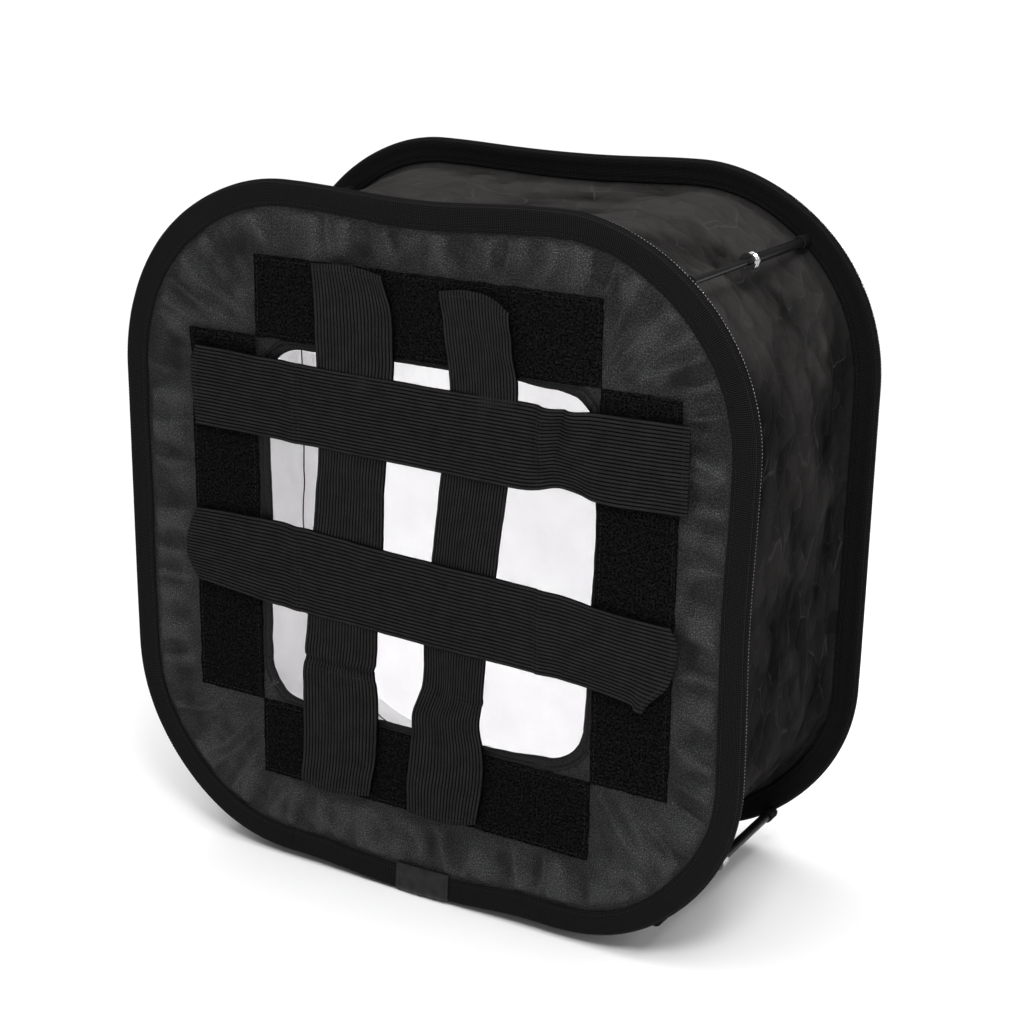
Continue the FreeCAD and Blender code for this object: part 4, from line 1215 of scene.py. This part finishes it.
def strap_half(name, index):
    """Half a strap, from its middle to one end, with its stitching and the hook tape under its tab."""
    spec = STRAPS[name]
    end_name, sign, tip = end_of(name, index)
    body = f"{name}_{end_name}_end"
    start = sign * spec["meets"]
    near_peel = np.arange(PEEL - 6, PEEL + 5, 0.75)
    marks = np.unique(np.concatenate([np.arange(start, tip, 1.9), near_peel, [tip - 0.4, tip]]))
    s = (sign * marks)[:, None]
    steps = np.arange(RIBS * 5 + 1)
    u = (steps / (RIBS * 5) * 2 - 1)[None]
    phase = steps % 5
    height = np.choose(phase, [0.0, 0.78, 1.0, 1.0, 0.78])
    height[[0, -1]] = 0.4
    crest = np.choose(phase, [0.0, 0.8, 1.0, 1.0, 0.8])
    rib = (height * 0.85 - 0.5)[None]
    thin_end = 0.45 + 0.55 * smooth((tip - np.abs(s)) / 1.6)
    front = strap_point(name, s, u, (HALF_THICK + rib) * thin_end)
    back = strap_point(name, s, u, -(HALF_THICK + rib * 0.6) * thin_end)
    crests = np.broadcast_to(crest, (len(marks), len(steps))).ravel()
    cloth = {"weave": strap_weave(s, u), "crest": np.tile(crests, 2)}
    piece = make(f"{name}_{end_name}_elastic", *closed_sheet(front, back), ELASTIC, cloth, sharp=75)
    edge_u = 1 - 3.2 / HALF_STRAP
    far, near = tip - 3.2, 79
    lines = [(sign * np.linspace(near, far, 90), np.full(90, row_u)) for row_u in (-edge_u, edge_u)]
    lines += [(np.full(60, sign * row), np.linspace(-edge_u, edge_u, 60)) for row in (far, near, near - 3.0)]
    rows = []
    for line_s, line_u in lines:
        line = strap_point(name, line_s, line_u, HALF_THICK + 0.12)
        rows.append((*resample(line, 2.7 * MM, False), TO_LAMP))
    seam_name = f"{name}_{end_name}_stitching"
    seam = sew(seam_name, rows, 1.9 * MM, 0.24 * MM, DARK_THREAD, None, "ribbed_elastic")
    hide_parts(f"{name}_{end_name}_tab", *([name] if index == 0 else []))
    begin, beyond = (np.array(strap_point(name, sign * (PEEL + d), 0.0, HALF_THICK)) for d in (-4.5, 3.0))
    axis = 2 if spec["upright"] else 0
    stop = begin.copy()
    stop[axis] = beyond[axis]
    for item in (piece, seam):
        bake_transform(item)
    hook_patch(name, index, body)


def hook_patch(name, index, body):
    """The hook tape under a tab: a strip with rows of small hooks on its inner face."""
    end_name, sign, tip = end_of(name, index)
    s = (sign * np.arange(PEEL + 4.5, tip - 3.4, 0.7))[:, None]
    edge_u = 1 - 3.4 / HALF_STRAP
    u = np.linspace(-edge_u, edge_u, 61)[None]
    rows, columns = np.meshgrid(np.arange(s.size), np.arange(u.size), indexing="ij")
    hooks = np.where((rows % 3 == 1) & (columns % 3 == 1), 0.42, 0.0)
    margin = (rows > 1) & (rows < s.size - 2) & (columns > 1) & (columns < u.size - 2)
    front = strap_point(name, s, u, -0.98)
    back = strap_point(name, s, u, -1.35) + pile(0, 1, 0) * (hooks * margin)[..., None] * MM
    weave = {"weave": strap_weave(s, u)}
    patch = make(f"{name}_{end_name}_hook_tape", *closed_sheet(front, back), HOOK, weave, sharp=60)
    finish_piece(patch, body, "hook_tape", f"{name}_{end_name}_hook")


for strap_name in STRAPS:
    for side_index in (0, 1):
        strap_half(strap_name, side_index)

# ---------------------------------------------------------------- struts and their pockets


def pocket_sleeve(rim, kind, corner):
    """A short sewn sleeve on the rim that holds a strut's end."""
    node = f"{kind}_pocket_{corner}"
    low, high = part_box(node)
    x, z = (low.x + high.x) / 2, (low.z + high.z) / 2
    radius = (high.x - low.x) / 2
    foot, mouth = (low.y, high.y) if kind == "rod" else (high.y, low.y)
    bar = 2.0 * MM if kind == "rod" else 2.8 * MM
    turn = np.linspace(0, 2 * math.pi, 48, endpoint=False)
    outside = [(0.0, 1.0), (0.12, 1.0), (0.3, 1.0), (0.5, 0.98), (0.7, 1.0), (0.86, 1.02), (0.96, 1.0),
               (1.0, 0.92)]
    rows = []
    for t, grow in outside:
        rough = noise(pile(np.cos(turn) * 3, np.sin(turn) * 3, t * 2), 1.4, 91) * 0.22 * MM
        rows.append((foot + (mouth - foot) * t, radius * 0.985 * grow - 0.2 * MM + rough))
    for t, slack in ((1.0, 0.25), (0.9, 0.1), (0.16, 0.08)):
        rows.append((foot + (mouth - foot) * t, bar + slack * MM))
    points = np.stack([pile(x + r * np.cos(turn), y, z + r * np.sin(turn)) for y, r in rows])
    weave = pile(points[..., 1] - foot, np.broadcast_to(turn * radius, points.shape[:2])).reshape(-1, 3)
    mesh = ring(points, closed_path=False)
    piece = make(f"{node}_sleeve", *mesh, WEBBING, {"weave": weave}, sharp=60)
    finish_piece(piece, rim.body, "pocket_webbing", node)


for place_name in ("upper_left", "upper_right", "lower_left", "lower_right"):
    pocket_sleeve(REAR, "rod", place_name)
    pocket_sleeve(FRONT, "tube", place_name)

FINISHES = {
    "strut_rod": LACQUER, "strut_tube": TUBE_LACQUER, "strut_collar": CHROME, "rod_end": PLASTIC,
    "hoop_crimp": STEEL,
}
for node_name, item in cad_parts.items():
    for key, finish in FINISHES.items():
        if key in node_name:
            item.data.materials.clear()
            item.data.materials.append(finish)

# ---------------------------------------------------------------- stage, lights and camera


def link(name, data):
    item = bpy.data.objects.new(name, data)
    bpy.context.scene.collection.objects.link(item)
    return item


def floor():
    reach = 30.0
    mesh = bpy.data.meshes.new("floor")
    corners = [(x * reach, y * reach, 0) for x, y in ((-1, -1), (1, -1), (1, 1), (-1, 1))]
    mesh.from_pydata(corners, [], [(0, 1, 2, 3)])
    item = link("floor", mesh)
    mat, tree, shader = start_material("floor_paint", Roughness=0.9, Specular_IOR_Level=0.1)
    fine = texture(tree, coordinates(tree, None), 40 * MM, 2.0)
    wire(tree, shader, "Base Color", blend_colours(tree, fine, grey(0.9), grey(0.92)))
    mesh.materials.append(mat)


def light(name, kind, direction, power, spot=(0, 0, 0)):
    """A light that looks along a direction."""
    data = bpy.data.lights.new(name, kind)
    data.energy = power
    lamp = link(name, data)
    lamp.location = spot
    lamp.rotation_mode = "QUATERNION"
    lamp.rotation_quaternion = direction.to_track_quat("-Z", "Y")
    return data


def soft_box(name, spot, aim, size, power, spread=180):
    """A square light of a given size."""
    data = light(name, "AREA", Vector(aim) - Vector(spot), power, spot)
    data.shape = "RECTANGLE"
    data.size = data.size_y = size
    data.spread = math.radians(spread)


def studio():
    world = bpy.data.worlds.new("studio")
    bpy.context.scene.world = world
    world.use_nodes = True
    back = world.node_tree.nodes["Background"]
    back.inputs["Color"].default_value = (1.0, 1.0, 1.0, 1.0)
    back.inputs["Strength"].default_value = 0.18
    floor()
    light("overhead", "SUN", Vector((0.04, 0.08, -1.0)), 3.02).angle = math.radians(70)
    soft_box("key_box", (0.45, -0.7, 0.95), (0.05, -0.08, 0.25), 0.26, 5.5)
    soft_box("fill_box", (1.2, -1.5, 0.85), (0, 0, 0.2), 0.7, 3)
    soft_box("front_box", (0, 1.3, 0.24), (0, 0.08, 0.21), 0.4, 2.45, 14)


def camera():
    azimuth, elevation, roll = math.radians(30.24), math.radians(17.48), math.radians(0.916)
    right = Vector((math.cos(azimuth), math.sin(azimuth), 0))
    level = Vector((math.sin(azimuth), -math.cos(azimuth), 0))
    back = level * math.cos(elevation) + Vector((0, 0, math.sin(elevation)))
    up = back.cross(right)
    across = right * math.cos(roll) + up * math.sin(roll)
    upward = up * math.cos(roll) - right * math.sin(roll)
    data = bpy.data.cameras.new("camera")
    data.lens = 70.6
    data.sensor_width = 36.0
    data.clip_end = 100.0
    item = link("camera", data)
    turned = Matrix((across, upward, back)).transposed().to_4x4()
    item.matrix_world = Matrix.Translation((0.5698, -0.9535, 0.5608)) @ turned
    bpy.context.scene.camera = item


studio()
camera()
bpy.context.scene.view_settings.view_transform = "Standard"
bpy.context.scene.view_settings.look = "None"
